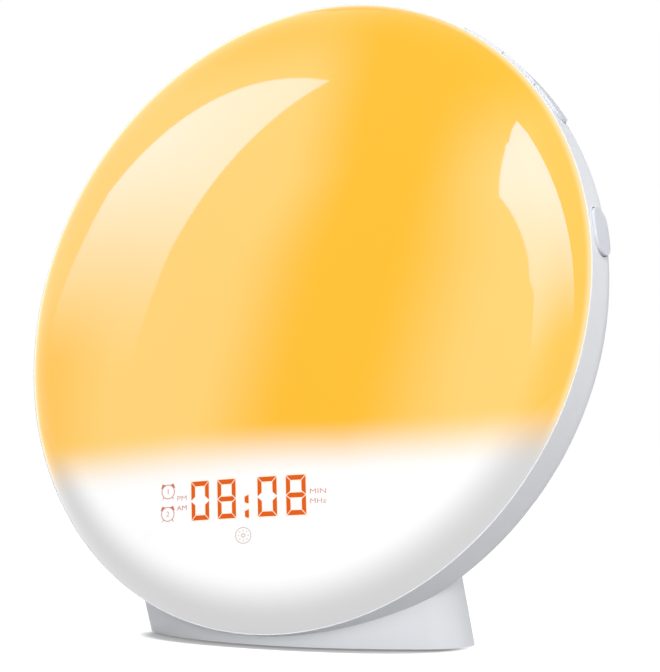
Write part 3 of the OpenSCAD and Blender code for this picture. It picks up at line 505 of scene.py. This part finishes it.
def run_tree(made, tree, **values):
    """Evaluates a tree on an object and keeps the result as the object's plain mesh."""
    modifier = made.modifiers.new("Shape", "NODES")
    modifier.node_group = tree
    for item in tree.interface.items_tree:
        key = item.name.replace(" ", "_")
        if item.in_out == "INPUT" and key in values:
            modifier[item.identifier] = values[key]
    bpy.context.view_layer.update()
    evaluated = made.evaluated_get(bpy.context.evaluated_depsgraph_get())
    mesh = bpy.data.meshes.new_from_object(evaluated)
    made.modifiers.remove(modifier)
    made.data = mesh
    return mesh


def outward(mesh, gap=1e-6, close_ends=False):
    """Merges doubles, closes open ends when asked and turns all faces outwards."""
    work = bmesh.new()
    work.from_mesh(mesh)
    bmesh.ops.remove_doubles(work, verts=work.verts, dist=gap)
    if close_ends:
        bmesh.ops.holes_fill(work, edges=work.edges, sides=8)
    bmesh.ops.recalc_face_normals(work, faces=work.faces)
    work.to_mesh(mesh)
    work.free()


def put_on_face(mesh):
    """Moves a mesh drawn in face millimetres into the world."""
    mesh.transform(FACE @ Matrix.Scale(MM, 4))
    mesh.update()


def smooth(mesh, angle=30.0):
    for polygon in mesh.polygons:
        polygon.use_smooth = True
    mesh.set_sharp_from_angle(angle=math.radians(angle))


# --- light cover

# Distance within which the points of a turned surface are merged, in millimetres
WELD = 0.002
# Room that the skirt leaves beside each group of keys, in millimetres
KEY_ROOM = 1.0


def make_revolve_tree():
    """Turns a polyline drawn as x outwards and y along the axis into a surface round that axis."""
    tree, given, out = geometry_tree("Revolve Outline", (
        ("Steps", "Int", 256), ("Start", "Float", 0.0),
        ("Sweep", "Float", 2 * math.pi), ("Material", "Material", None)))
    size = node(tree, "GeometryNodeAttributeDomainSize", component="MESH")
    link(tree, given["Geometry"], size.inputs[0])
    count = size.outputs["Point Count"]
    grid = tree.nodes.new("GeometryNodeMeshGrid")
    link(tree, maths(tree, "ADD", given["Steps"], 1), grid.inputs["Vertices X"])
    link(tree, count, grid.inputs["Vertices Y"])
    index = tree.nodes.new("GeometryNodeInputIndex").outputs[0]
    row = maths(tree, "MODULO", index, count)
    column = maths(tree, "FLOOR", maths(tree, "DIVIDE", index, count))
    angle = maths(tree, "MULTIPLY_ADD", maths(tree, "DIVIDE", column, given["Steps"]),
                  given["Sweep"], given["Start"])
    sample = node(tree, "GeometryNodeSampleIndex", data_type="FLOAT_VECTOR", domain="POINT")
    link(tree, given["Geometry"], sample.inputs["Geometry"])
    link(tree, tree.nodes.new("GeometryNodeInputPosition").outputs[0], sample.inputs["Value"])
    link(tree, row, sample.inputs["Index"])
    parts = split_coords(tree, sample.outputs[0])
    place = tree.nodes.new("ShaderNodeCombineXYZ")
    for target, wave in ((0, "COSINE"), (1, "SINE")):
        link(tree, times(tree, parts[0], maths(tree, wave, angle)), place.inputs[target])
    link(tree, parts[1], place.inputs[2])
    move = tree.nodes.new("GeometryNodeSetPosition")
    link(tree, grid.outputs["Mesh"], move.inputs["Geometry"])
    link(tree, place.outputs[0], move.inputs["Position"])
    weld = node(tree, "GeometryNodeMergeByDistance")
    weld.inputs["Distance"].default_value = WELD
    link(tree, move.outputs[0], weld.inputs["Geometry"])
    finish_tree(tree, weld.outputs[0], given["Material"], out)
    return tree


def arc(centre_x, centre_z, radius, start, end, steps):
    """Points from start to end, angles in radians from the axis."""
    return [(centre_x + radius * math.sin(a), centre_z + radius * math.cos(a))
            for a in (start + (end - start) * i / steps for i in range(steps + 1))]


def cover_outline():
    """Half outline of the cover from the outside of its apex round to the inside of its apex."""
    outer = arc(0, CROWN_Z, CROWN_R - FACET_ROOM, 0, CROWN_ANGLE, 40)
    outer += arc(SHOULDER_X, SHOULDER_Z, SHOULDER_R - FACET_ROOM, CROWN_ANGLE, SHOULDER_END, 30)[1:]
    inner_r = SHOULDER_R - COVER_WALL
    end = math.acos((INNER_FOOT - SHOULDER_Z) / inner_r)
    inner = arc(SHOULDER_X, SHOULDER_Z, inner_r, end, CROWN_ANGLE, 16)
    inner += arc(0, CROWN_Z, CROWN_R - COVER_WALL, CROWN_ANGLE, 0, 12)[1:]
    return outer + [(SKIRT_R, 0), (SKIRT_R - SKIRT_WALL, 0)] + inner


class CLOCK_OT_lit_cover(bpy.types.Operator):
    """Makes the domed light cover with its skirt and gives it the sunrise glow"""
    bl_idname = "clock.lit_cover"
    bl_label = "Lit Cover"

    def execute(self, context):
        lamp = context.scene.clock_lamp
        make_glow_group()
        material = make_cover_material(lamp)
        tree = make_revolve_tree()
        cover = add_object("lit_cover", polyline("cover_outline", cover_outline()))
        mesh = run_tree(cover, tree, Steps=lamp.segments, Material=material)
        outward(mesh)
        put_on_face(mesh)
        smooth(mesh, 35)
        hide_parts("light_diffuser")
        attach(cover, "clock")

        # The skirt stops short of every key
        section = [(SKIRT_R, 0), (SKIRT_R, -SKIRT_LENGTH), (SKIRT_R - SKIRT_WALL, -SKIRT_LENGTH),
                   (SKIRT_R - SKIRT_WALL, 0), (SKIRT_R, 0)]
        keys = [(angle, math.degrees((run / 2 + KEY_ROOM) / SKIRT_R)) for angle, run in KEY_RUNS]
        spans = sorted((angle - half, angle + half) for angle, half in keys)
        for index, (_, start) in enumerate(spans):
            sweep = (spans[(index + 1) % len(spans)][0] - start) % 360
            skirt = add_object(f"cover_skirt_{index + 1}", polyline("skirt", section))
            mesh = run_tree(skirt, tree, Steps=max(6, int(sweep)), Start=math.radians(start),
                            Sweep=math.radians(sweep), Material=material)
            outward(mesh, WELD, close_ends=True)
            put_on_face(mesh)
            smooth(mesh)
            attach(skirt, "clock")
        return {"FINISHED"}


# --- numerals and marks

# Sizes of the display in face millimetres
DIGIT_FOOT = -60.83
DIGIT_SHIFT = 1.65
DIGIT_PITCH = 8.75
COLON_ROOM = 4.1
COLON_FEET = (-0.1, 3.65)
COLON_HEIGHT = 2.2
# How much is cut off the colon's marks at their lower and at their upper left corner
COLON_SLANTS = (0.35, 0.45)
MARK_WIDEN = 1.2
# Longest edge of a mark's triangles that is left whole
WHOLE_EDGE = 1.2
# The display is drawn upright and then turned by a little about the middle of its figures
DISPLAY_MIDDLE = Vector((1.2, -55.7, 0))
DISPLAY_TURN = (Matrix.Translation(DISPLAY_MIDDLE) @ Matrix.Rotation(math.radians(3.6), 4, "Z")
                @ Matrix.Translation(-DISPLAY_MIDDLE))
# Bars of the figures, in the order top, upper right, lower right, bottom, lower left, upper left, middle
FIGURES = {"0": "1111110", "1": "0110000", "2": "1101101", "3": "1111001", "4": "0110011",
           "5": "1011011", "6": "1011111", "7": "1110000", "8": "1111111", "9": "1111011"}


def drape(mesh, lift):
    """Lays a flat mesh, drawn in face millimetres, on the cover and moves it into the world."""
    mesh.transform(DISPLAY_TURN)
    for vertex in mesh.vertices:
        x, y, z = vertex.co
        vertex.co = (x, y, cover_height(x, y) + lift + z)
    put_on_face(mesh)


def figure_outlines(wide, high, bar, gap):
    """Outlines of the seven bars of a figure round its own middle, mitred where they meet."""
    half_w, half_h, cut = wide / 2, high / 2, gap / math.sqrt(2)
    slope = 0.75
    shoulder = half_w - (bar / 2 + cut) / slope
    tip = half_w - cut / slope
    top = [(-half_w + cut, half_h), (-half_w + bar + cut, half_h - bar), (half_w - bar - cut, half_h - bar),
           (half_w - cut, half_h)]
    upper_right = [(half_w, half_h - cut), (half_w - bar, half_h - bar - cut),
                   (half_w - bar, cut + slope * bar), (half_w, cut)]
    middle = [(-tip, 0), (-shoulder, -bar / 2), (shoulder, -bar / 2), (tip, 0), (shoulder, bar / 2),
              (-shoulder, bar / 2)]

    def flip(points, sx, sy):
        turned = [(x * sx, y * sy) for x, y in points]
        return turned if sx * sy > 0 else turned[::-1]

    return (top, upper_right, flip(upper_right, 1, -1), flip(top, 1, -1), flip(upper_right, -1, -1),
            flip(upper_right, -1, 1), middle)


def add_plates(work, outlines, x=0.0, y=0.0):
    """Adds flat shapes, moved to a place."""
    for outline in outlines:
        work.faces.new([work.verts.new((x + px, y + py, 0)) for px, py in outline])


def split_faces(mesh, cuts=2):
    """Cuts flat shapes into small triangles, so that they follow the cover."""
    work = bmesh.new()
    work.from_mesh(mesh)
    bmesh.ops.triangulate(work, faces=work.faces)
    for _ in range(cuts):
        edges = [edge for edge in work.edges if edge.calc_length() > WHOLE_EDGE]
        if not edges:
            break
        bmesh.ops.subdivide_edges(work, edges=edges, cuts=1)
        bmesh.ops.triangulate(work, faces=work.faces)
    work.to_mesh(mesh)
    work.free()


def draw_time(work, display, grow=0.0):
    """Draws the lit bars of the time and the colon, or their halo when they grow."""
    high, wide, bar = display.digit_height / MM, display.digit_width / MM, display.bar_width / MM
    gap = 0.0 if grow else display.bar_gap / MM
    outlines = figure_outlines(wide + 2 * grow, high + 2 * grow, bar + 2 * grow, gap)
    for place, figure in enumerate(display.time):
        x = DIGIT_SHIFT + (place - 1.5) * DIGIT_PITCH + (-1 if place < 2 else 1) * COLON_ROOM / 2
        add_plates(work, [outline for outline, lit in zip(outlines, FIGURES[figure]) if lit == "1"],
                   x, DIGIT_FOOT + high / 2)
    half = bar / 2 + grow
    lower, upper = COLON_SLANTS
    for foot in COLON_FEET:
        add_plates(work, [[(-half, lower - grow), (0.0, -grow), (half, -grow), (half, COLON_HEIGHT + grow),
                           (-half, COLON_HEIGHT - upper + grow)]], DIGIT_SHIFT, DIGIT_FOOT + foot)


def lay_on_cover(name, work, tint, cuts, lift):
    """Turns a flat drawing into a lit piece that lies on the cover."""
    mesh = bpy.data.meshes.new(name)
    work.to_mesh(mesh)
    work.free()
    made = add_object(name, mesh, make_lit_material(name.replace("_", " ").title(), tint, MARK_LIGHT))
    for polygon in mesh.polygons:
        polygon.material_index = 0
    split_faces(mesh, cuts)
    drape(mesh, lift)
    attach(made, "clock")


class CLOCK_OT_numerals(bpy.types.Operator):
    """Makes the lit numerals and the colon that show through the cover, each in a faint halo"""
    bl_idname = "clock.numerals"
    bl_label = "Numerals"

    def execute(self, context):
        display = context.scene.clock_display
        for name, tint, lift, grow in (("numeral_halo", display.halo, 0.5, 0.30),
                                       ("lit_numerals", display.lit, 1.0, 0.0)):
            work = bmesh.new()
            draw_time(work, display, grow)
            lay_on_cover(name, work, tint, 3, display.lift / MM * lift)
        return {"FINISHED"}


def stroke_ring(work, x, y, radius, width, sides=40):
    """Adds a flat ring, a little wider than it is high."""
    rows = []
    for i in range(sides):
        a = 2 * math.pi * i / sides
        rows.append([work.verts.new((x + MARK_WIDEN * r * math.cos(a), y + r * math.sin(a), 0))
                     for r in (radius - width / 2, radius + width / 2)])
    for i in range(sides):
        a, b = rows[i], rows[(i + 1) % sides]
        work.faces.new((a[0], a[1], b[1], b[0]))


def stroke_line(work, x0, y0, x1, y1, width):
    along = Vector((x1 - x0, y1 - y0)).normalized()
    side = Vector((-along.y, along.x)) * width / 2
    ends = [(x0 - side.x, y0 - side.y), (x1 - side.x, y1 - side.y), (x1 + side.x, y1 + side.y),
            (x0 + side.x, y0 + side.y)]
    work.faces.new([work.verts.new((x, y, 0)) for x, y in ends])


def add_letters(work, body, x, y, size, width):
    """Adds plain letters or figures of a width, centred on a point."""
    curve = bpy.data.curves.new("letters", "FONT")
    curve.body, curve.size = body, size
    curve.align_x, curve.align_y = "CENTER", "CENTER"
    carrier = bpy.data.objects.new("letters", curve)
    bpy.context.scene.collection.objects.link(carrier)
    bpy.context.view_layer.update()
    mesh = bpy.data.meshes.new_from_object(carrier.evaluated_get(bpy.context.evaluated_depsgraph_get()))
    natural = max(v.co.x for v in mesh.vertices) - min(v.co.x for v in mesh.vertices)
    mesh.transform(Matrix.Translation((x, y, 0)) @ Matrix.Diagonal((width / natural, 1, 1, 1)))
    work.from_mesh(mesh)
    bpy.data.objects.remove(carrier)
    bpy.data.curves.remove(curve)
    bpy.data.meshes.remove(mesh)


# A small alarm clock: its ring, its foot from top to bottom, the outline of its bell and its figure
BELL_RING, BELL_STROKE = 1.84, 0.27
BELL_FOOT = ((1.45, -1.40), (1.95, -2.00))
BELL_CAP = ((2.55, 0.85), (1.70, 1.15), (0.75, 1.85), (1.95, 2.15))
FIGURE_SIZE, FIGURE_WIDTHS = 1.9, {"1": 0.3, "2": 1.1}


def bell_caps(work, x, y):
    """Two filled bells on top of a small alarm clock."""
    for side in (-1, 1):
        cap = [(side * px, py) for px, py in BELL_CAP]
        add_plates(work, [cap if side > 0 else cap[::-1]], x, y)


def clock_outline(work, x, y, figure):
    """Ring, feet and figure of a small alarm clock."""
    stroke_ring(work, x, y, BELL_RING, BELL_STROKE)
    (x0, y0), (x1, y1) = BELL_FOOT
    for side in (-1, 1):
        stroke_line(work, x + side * x0, y + y0, x + side * x1, y + y1, BELL_STROKE)
    add_letters(work, figure, x, y, FIGURE_SIZE, FIGURE_WIDTHS[figure])


def make_dot_tree():
    """Sets small round dots at equal steps on a circle."""
    tree, given, out = geometry_tree("Dots on a Circle", (
        ("Count", "Int", 8), ("Radius", "Float", 1.0),
        ("Dot Radius", "Float", 0.2), ("Material", "Material", None)))
    circle = node(tree, "GeometryNodeMeshCircle")
    link(tree, given["Count"], circle.inputs["Vertices"])
    link(tree, given["Radius"], circle.inputs["Radius"])
    dot = node(tree, "GeometryNodeMeshCircle", fill_type="NGON")
    dot.inputs["Vertices"].default_value = 14
    link(tree, given["Dot Radius"], dot.inputs["Radius"])
    place = tree.nodes.new("GeometryNodeInstanceOnPoints")
    link(tree, circle.outputs["Mesh"], place.inputs["Points"])
    link(tree, dot.outputs["Mesh"], place.inputs["Instance"])
    finish_tree(tree, place.outputs[0], given["Material"], out)
    return tree


# The touch mark: its place, the radius and stroke of its rings, and its circle of dots
TOUCH_SPOT = (0.24, -65.42)
OUTER_RING, INNER_RING = (2.03, 0.22), (0.45, 0.26)
DOT_COUNT, DOT_CIRCLE, DOT_R = 8, 1.30, 0.17
BELL_SPOTS = ((-24.53, -52.72), (-24.79, -58.68))
WORD_SIZE = 1.8
# Each word with its place, its width and its layer
WORDS = (("AM", -19.77, -57.34, 3.4, "lit_marks"), ("PM", -19.72, -54.73, 3.2, "mark_outlines"),
         ("MIN", 23.34, -54.99, 4.7, "mark_outlines"), ("MHz", 23.27, -57.47, 4.7, "mark_outlines"))


class CLOCK_OT_marks(bpy.types.Operator):
    """Makes the alarm marks, the unit words and the touch mark beside the numerals"""
    bl_idname = "clock.marks"
    bl_label = "Alarm, Unit and Touch Marks"

    def execute(self, context):
        display = context.scene.clock_display
        layers = (("lit_marks", display.mark), ("mark_outlines", display.outline),
                  ("touch_mark", display.touch))
        drawn = {name: bmesh.new() for name, _ in layers}
        for (x, y), figure in zip(BELL_SPOTS, "12"):
            bell_caps(drawn["lit_marks"], x, y)
            clock_outline(drawn["mark_outlines"], x, y, figure)
        for body, x, y, width, layer in WORDS:
            add_letters(drawn[layer], body, x, y, WORD_SIZE, width)

        # Touch mark: an outer ring, dots and a small ring
        dots = add_object("dots", mesh_from("dots", [(0, 0, 0)]))
        mesh = run_tree(dots, make_dot_tree(), Count=DOT_COUNT, Radius=DOT_CIRCLE, Dot_Radius=DOT_R)
        mesh.transform(Matrix.Translation((*TOUCH_SPOT, 0)) @ Matrix.Diagonal((MARK_WIDEN, 1, 1, 1)))
        drawn["touch_mark"].from_mesh(mesh)
        bpy.data.objects.remove(dots)
        stroke_ring(drawn["touch_mark"], *TOUCH_SPOT, *OUTER_RING, 56)
        stroke_ring(drawn["touch_mark"], *TOUCH_SPOT, *INNER_RING, 24)

        for name, tint in layers:
            lay_on_cover(name, drawn[name], tint, 1, display.lift / MM)
        return {"FINISHED"}


# --- shell, keys and inner parts

class CLOCK_OT_shell(bpy.types.Operator):
    """Finishes the housing, the foot's plate and pad and the keys"""
    bl_idname = "clock.shell"
    bl_label = "Shell and Keys"

    def execute(self, context):
        shell = context.scene.clock_shell
        moulding = {"drift": 0.02, "grain": 260.0, "depth": 0.00001, "Specular_IOR_Level": 0.2}
        dress(["rear_housing", "base_plate"],
              make_skin_material("Shell Plastic", shell.shell, 0.34, **moulding))
        dress([name for name in NODES if name.endswith("_key")],
              make_skin_material("Key Plastic", shell.key, 0.30, **moulding))
        dress(["foot_pad", "aerial_bush", "speaker_gasket", "speaker_surround"],
              make_skin_material("Soft Rubber", shell.rubber, 0.75, drift=0.15, grain=900.0, depth=0.0001,
                                 strength=0.6))
        return {"FINISHED"}


class CLOCK_OT_inner_parts(bpy.types.Operator):
    """Finishes the boards, diodes, speaker, sockets, screws and switches inside"""
    bl_idname = "clock.inner_parts"
    bl_label = "Inner Parts"

    def execute(self, context):
        shell = context.scene.clock_shell
        boards = [name for name in NODES if name.endswith(("key_board", "side_board", "snooze_board"))]
        boards += ["display_board", "main_board"]
        dress(boards, make_board_material("Green Board", tuple(shell.board)))
        dress(["light_board"], make_board_material("White Board", (0.82, 0.82, 0.79)))
        dress(["reflector_plate", "light_divider", "display_shroud", "board_connectors"],
              make_skin_material("Inner Plastic", (0.84, 0.84, 0.82), 0.55))
        dress(["digit_module"], make_skin_material("Module Plastic", (0.17, 0.17, 0.18), 0.5))
        dress(["board_chips", "board_capacitors", "key_switches", "power_inlet", "board_link"],
              make_skin_material("Black Plastic", (0.012, 0.012, 0.014), 0.45, drift=0.3))
        dress([name for name in NODES if name.endswith("_stem")],
              make_skin_material("Stem Plastic", (0.10, 0.045, 0.02), 0.4, drift=0.2))
        dress(["light_leds"], make_lit_material("Warm Diode", (0.95, 0.72, 0.25), INNER_LIGHT))
        lit = context.scene.clock_display.lit
        dress(["digit_segments"], make_lit_material("Segment Window", lit, INNER_LIGHT))
        dress([name for name in NODES if name.endswith("_screws")],
              make_metal_material("Zinc Screw", (0.62, 0.63, 0.65), 0.32))
        dress(["tuner_can", "speaker_frame"], make_metal_material("Pressed Steel", (0.55, 0.56, 0.57), 0.4))
        dress(["power_inlet_pin", "touch_pillar"], make_metal_material("Brass", (0.75, 0.50, 0.20), 0.3))
        dress(["speaker_magnet"],
              make_skin_material("Ferrite", (0.03, 0.03, 0.032), 0.6, drift=0.4, grain=1200.0))
        dress(["speaker_cone"],
              make_skin_material("Cone Paper", (0.02, 0.02, 0.022), 0.8, drift=0.5, grain=700.0, depth=0.0002,
                                 strength=0.8))
        return {"FINISHED"}


# --- studio

# View of the camera: where it stands round the seam's middle, and how far its aim is off that middle
CAMERA_AZIMUTH, CAMERA_ELEVATION, CAMERA_DISTANCE = 32.72, -4.69, 0.500
CAMERA_AIM_RIGHT, CAMERA_AIM_UP = 1.314, -0.912
# Focal length and picture height in pixels, and the sensor in millimetres
FOCAL_PIXELS, PICTURE_HEIGHT, SENSOR = 1805, 672, 36

# The floor: half its side in metres, the white of its patch, the part of its white that is mirrored, the
# patch's edge in shares of its half sizes squared, and the lowest share of its colour
FLOOR_REACH = 6.0
# The patch is a painted shadow round the foot: its lowered white darkens the floor there even where no shadow
# falls
SHADOW_PATCH_WHITE = 0.25
MIRRORED_WHITE = 0.7
SHADOW_PATCH_EDGE = (0.90, 1.25)
FLOOR_DRIFT = 0.98

# Lamps: azimuth, elevation and size
LAMP_DISTANCE = 1.4
LAMPS = {"key": (20, 7, 1.2), "side": (65, 20, 0.7), "top": (75, 60, 0.7), "back": (205, 8, 0.7)}

# Cards that the cover mirrors: azimuth, elevation, colour, the heights between which the light sets in, and
# the corners. A corner is its place and how far the stretch after it bows outwards, as a share of its length.
# The rear card's light sets in below its lower end, so that all of it shines
CARD_DISTANCE = 1.5
CARDS = {
    "side": (-60, 0, (0.45, 0.55, 1.0), (0.30, 1.16),
             ((0.45, 1.80, 0.115), (-0.28, 0.86, 0), (-0.28, 0.25, 0), (0.16, 0.25, 0),
              (0.16, 0.75, -0.045))),
    "front": (20, 30, (0.45, 0.50, 1.0), (-0.50, 0.55),
              ((0.0, 0.85, -0.025), (-0.495, 0.505, 0.04), (-0.52, 0.31, -0.08), (-0.42, 0.0, 0.115),
               (0.20, -0.50, 0), (1.30, -0.50, 0.06), (0.13, 0.82, 0))),
    "rear": (175, 20, (0.42, 0.43, 0.46), (-4.0, -3.0),
             ((-1.22, -1.2, 0), (1.22, -1.2, 0), (1.22, 1.6, 0), (-1.22, 1.6, 0))),
}


def direction(azimuth, elevation):
    a, e = math.radians(azimuth), math.radians(elevation)
    return Vector((math.sin(a) * math.cos(e), -math.cos(a) * math.cos(e), math.sin(e)))


def basis(normal):
    """Right and up of someone at the object who looks along normal."""
    right = Vector((0, 0, 1)).cross(normal).normalized()
    up = normal.cross(right)
    return right, (up if up.z > 0 else -up)


def card_material(name, tint, low, high, strength):
    """Light of a card, which fades to nothing towards its lower end."""
    made = bpy.data.materials.new(name)
    tree = bare_tree(made)
    fade = ramp_between(tree, split_coords(tree, object_coords(tree))[1], low, high)
    clear = tree.nodes.new("ShaderNodeBsdfTransparent")
    lamp = node(tree, "ShaderNodeEmission", in_0=(*tint, 1.0), in_1=strength)
    out = tree.nodes.new("ShaderNodeOutputMaterial")
    link(tree, blend_shaders(tree, fade, clear, lamp), out.inputs["Surface"])
    return made


def bowed_outline(corners, steps=16):
    """Joins corners by stretches that run straight or bow as a parabola."""
    points = []
    for (x, y, bow), (next_x, next_y, _) in zip(corners, corners[1:] + corners[:1]):
        along_x, along_y = next_x - x, next_y - y
        for i in range(steps if bow else 1):
            t = i / steps
            away = 4 * bow * t * (1 - t)
            points.append((x + along_x * t + along_y * away, y + along_y * t - along_x * away, 0))
    return points


def add_card(name, strength):
    azimuth, elevation, tint, fade, corners = CARDS[name]
    outline = bowed_outline(corners)
    normal = direction(azimuth, elevation)
    right, up = basis(normal)
    made = add_object(f"{name}_card", mesh_from(f"{name}_card", outline, faces=[range(len(outline))]),
                      card_material(f"{name.title()} Card", tint, *fade, strength))
    place = Matrix((right, up, right.cross(up))).transposed().to_4x4()
    made.matrix_world = Matrix.Translation(FACE_ORIGIN + normal * CARD_DISTANCE) @ place
    made.visible_camera = made.visible_diffuse = made.visible_shadow = made.visible_transmission = False


def add_lamp(name, watts):
    azimuth, elevation, size = LAMPS[name]
    data = bpy.data.lights.new(f"{name}_lamp", "AREA")
    data.energy, data.size = watts, size
    made = bpy.data.objects.new(f"{name}_lamp", data)
    bpy.context.scene.collection.objects.link(made)
    towards = direction(azimuth, elevation)
    made.location = FACE_ORIGIN + towards * LAMP_DISTANCE
    made.rotation_euler = towards.to_track_quat("Z", "Y").to_euler()
    made.visible_glossy = False


def make_floor(stage):
    """Floor that keeps the contact shadow near the foot, deepened by a painted darker patch, and runs out
    into white.
    """
    made = bpy.data.materials.new("Pale Floor")
    tree = bare_tree(made)
    paint = node(tree, "ShaderNodeBsdfDiffuse")
    skin = node(tree, "ShaderNodeTexNoise", in_2=60.0, in_3=4.0)
    link(tree, object_coords(tree), skin.inputs["Vector"])
    shade = ramp_between(tree, skin.outputs["Fac"], 0.0, 1.0)
    dull = tuple(v * FLOOR_DRIFT for v in stage.floor)
    link(tree, mix(tree, shade, dull, tuple(stage.floor)), paint.inputs["Color"])

    # Its white is seen and mirrored, less in a patch round the foot, and lights nothing; the patch is painted
    # shadow
    white = node(tree, "ShaderNodeEmission")
    x, y, _ = split_coords(tree, object_coords(tree))
    beside = maths(tree, "POWER", times(tree, x, 1 / stage.shadow_patch_half_width), 2.0)
    forward = maths(tree, "ADD", y, stage.shadow_patch_forward)
    before = maths(tree, "POWER", times(tree, forward, 1 / stage.shadow_patch_half_depth), 2.0)
    far = ramp_between(tree, maths(tree, "ADD", beside, before), *SHADOW_PATCH_EDGE)
    rays = tree.nodes.new("ShaderNodeLightPath").outputs
    seen = maths(tree, "MAXIMUM", rays["Is Camera Ray"], times(tree, rays["Is Glossy Ray"], MIRRORED_WHITE))
    lift = maths(tree, "MULTIPLY_ADD", far, 1 - SHADOW_PATCH_WHITE, SHADOW_PATCH_WHITE)
    link(tree, times(tree, seen, lift), white.inputs["Strength"])
    both = tree.nodes.new("ShaderNodeAddShader")
    link(tree, paint.outputs[0], both.inputs[0])
    link(tree, white.outputs[0], both.inputs[1])
    link(tree, both.outputs[0], tree.nodes.new("ShaderNodeOutputMaterial").inputs["Surface"])
    corners = [(x * FLOOR_REACH, y * FLOOR_REACH, 0) for x, y in ((-1, -1), (1, -1), (1, 1), (-1, 1))]
    add_object("floor", mesh_from("floor", corners, faces=[(0, 1, 2, 3)]), made)


def make_world(stage):
    """World that is white where it is seen or mirrored, and even daylight otherwise."""
    world = bpy.data.worlds.new("Studio")
    bpy.context.scene.world = world
    tree = bare_tree(world)
    rays = tree.nodes.new("ShaderNodeLightPath").outputs
    shown = maths(tree, "MAXIMUM", rays["Is Camera Ray"],
                  maths(tree, "MAXIMUM", rays["Is Glossy Ray"], rays["Is Transmission Ray"]))
    even = node(tree, "ShaderNodeBackground", in_0=(0.99, 0.995, 1.0, 1), in_1=stage.daylight)
    plain = node(tree, "ShaderNodeBackground", in_0=(1, 1, 1, 1))
    out = tree.nodes.new("ShaderNodeOutputWorld")
    link(tree, blend_shaders(tree, shown, even, plain), out.inputs["Surface"])


def make_camera():
    towards = direction(CAMERA_AZIMUTH, CAMERA_ELEVATION)
    right = Vector((math.cos(math.radians(CAMERA_AZIMUTH)), math.sin(math.radians(CAMERA_AZIMUTH)), 0))
    up = towards.cross(right)
    aim = (-towards + right * math.tan(math.radians(CAMERA_AIM_RIGHT))
           + up * math.tan(math.radians(CAMERA_AIM_UP))).normalized()
    data = bpy.data.cameras.new("camera")
    data.lens, data.sensor_width, data.sensor_fit = FOCAL_PIXELS / PICTURE_HEIGHT * SENSOR, SENSOR, "AUTO"
    data.clip_start, data.clip_end = 0.01, 50
    camera = bpy.data.objects.new("camera", data)
    bpy.context.scene.collection.objects.link(camera)
    camera.location = FACE_ORIGIN + towards * CAMERA_DISTANCE
    camera.rotation_euler = aim.to_track_quat("-Z", "Y").to_euler()
    bpy.context.scene.camera = camera


class CLOCK_OT_studio(bpy.types.Operator):
    """Makes the floor, the lamps, the cards, the world and the camera"""
    bl_idname = "clock.studio"
    bl_label = "Studio"

    def execute(self, context):
        stage = context.scene.clock_stage
        make_floor(stage)
        make_world(stage)
        for name in LAMPS:
            add_lamp(name, getattr(stage, f"{name}_watts"))
        for name in CARDS:
            add_card(name, getattr(stage, f"{name}_card"))
        make_camera()
        context.scene.view_settings.view_transform = "Standard"
        return {"FINISHED"}


class CLOCK_PT_builder(bpy.types.Panel):
    """Lists the steps that build the clock"""
    bl_idname = "CLOCK_PT_builder"
    bl_label = "Alarm Clock"
    bl_space_type = "VIEW_3D"
    bl_region_type = "UI"
    bl_category = "Alarm Clock"

    def draw(self, context):
        for step in STEPS:
            self.layout.operator(step.bl_idname)


STEPS = (CLOCK_OT_lit_cover, CLOCK_OT_numerals, CLOCK_OT_marks, CLOCK_OT_shell, CLOCK_OT_inner_parts,
         CLOCK_OT_studio)
SETTINGS = (("clock_lamp", LampSettings), ("clock_display", DisplaySettings), ("clock_shell", ShellSettings),
            ("clock_stage", StageSettings))


def register():
    for name, kind in SETTINGS:
        bpy.utils.register_class(kind)
        setattr(bpy.types.Scene, name, PointerProperty(type=kind))
    for kind in (*STEPS, CLOCK_PT_builder):
        bpy.utils.register_class(kind)


def unregister():
    for kind in reversed((*STEPS, CLOCK_PT_builder)):
        bpy.utils.unregister_class(kind)
    for name, kind in reversed(SETTINGS):
        delattr(bpy.types.Scene, name)
        bpy.utils.unregister_class(kind)


def main():
    register()
    make_moulded_group()
    make_plated_group()
    make_board_group()
    for step in STEPS:
        call = getattr(bpy.ops.clock, step.bl_idname.split(".")[1])
        if call() != {"FINISHED"}:
            raise RuntimeError(f"{step.bl_label} did not finish")


if __name__ == "__main__":
    main()
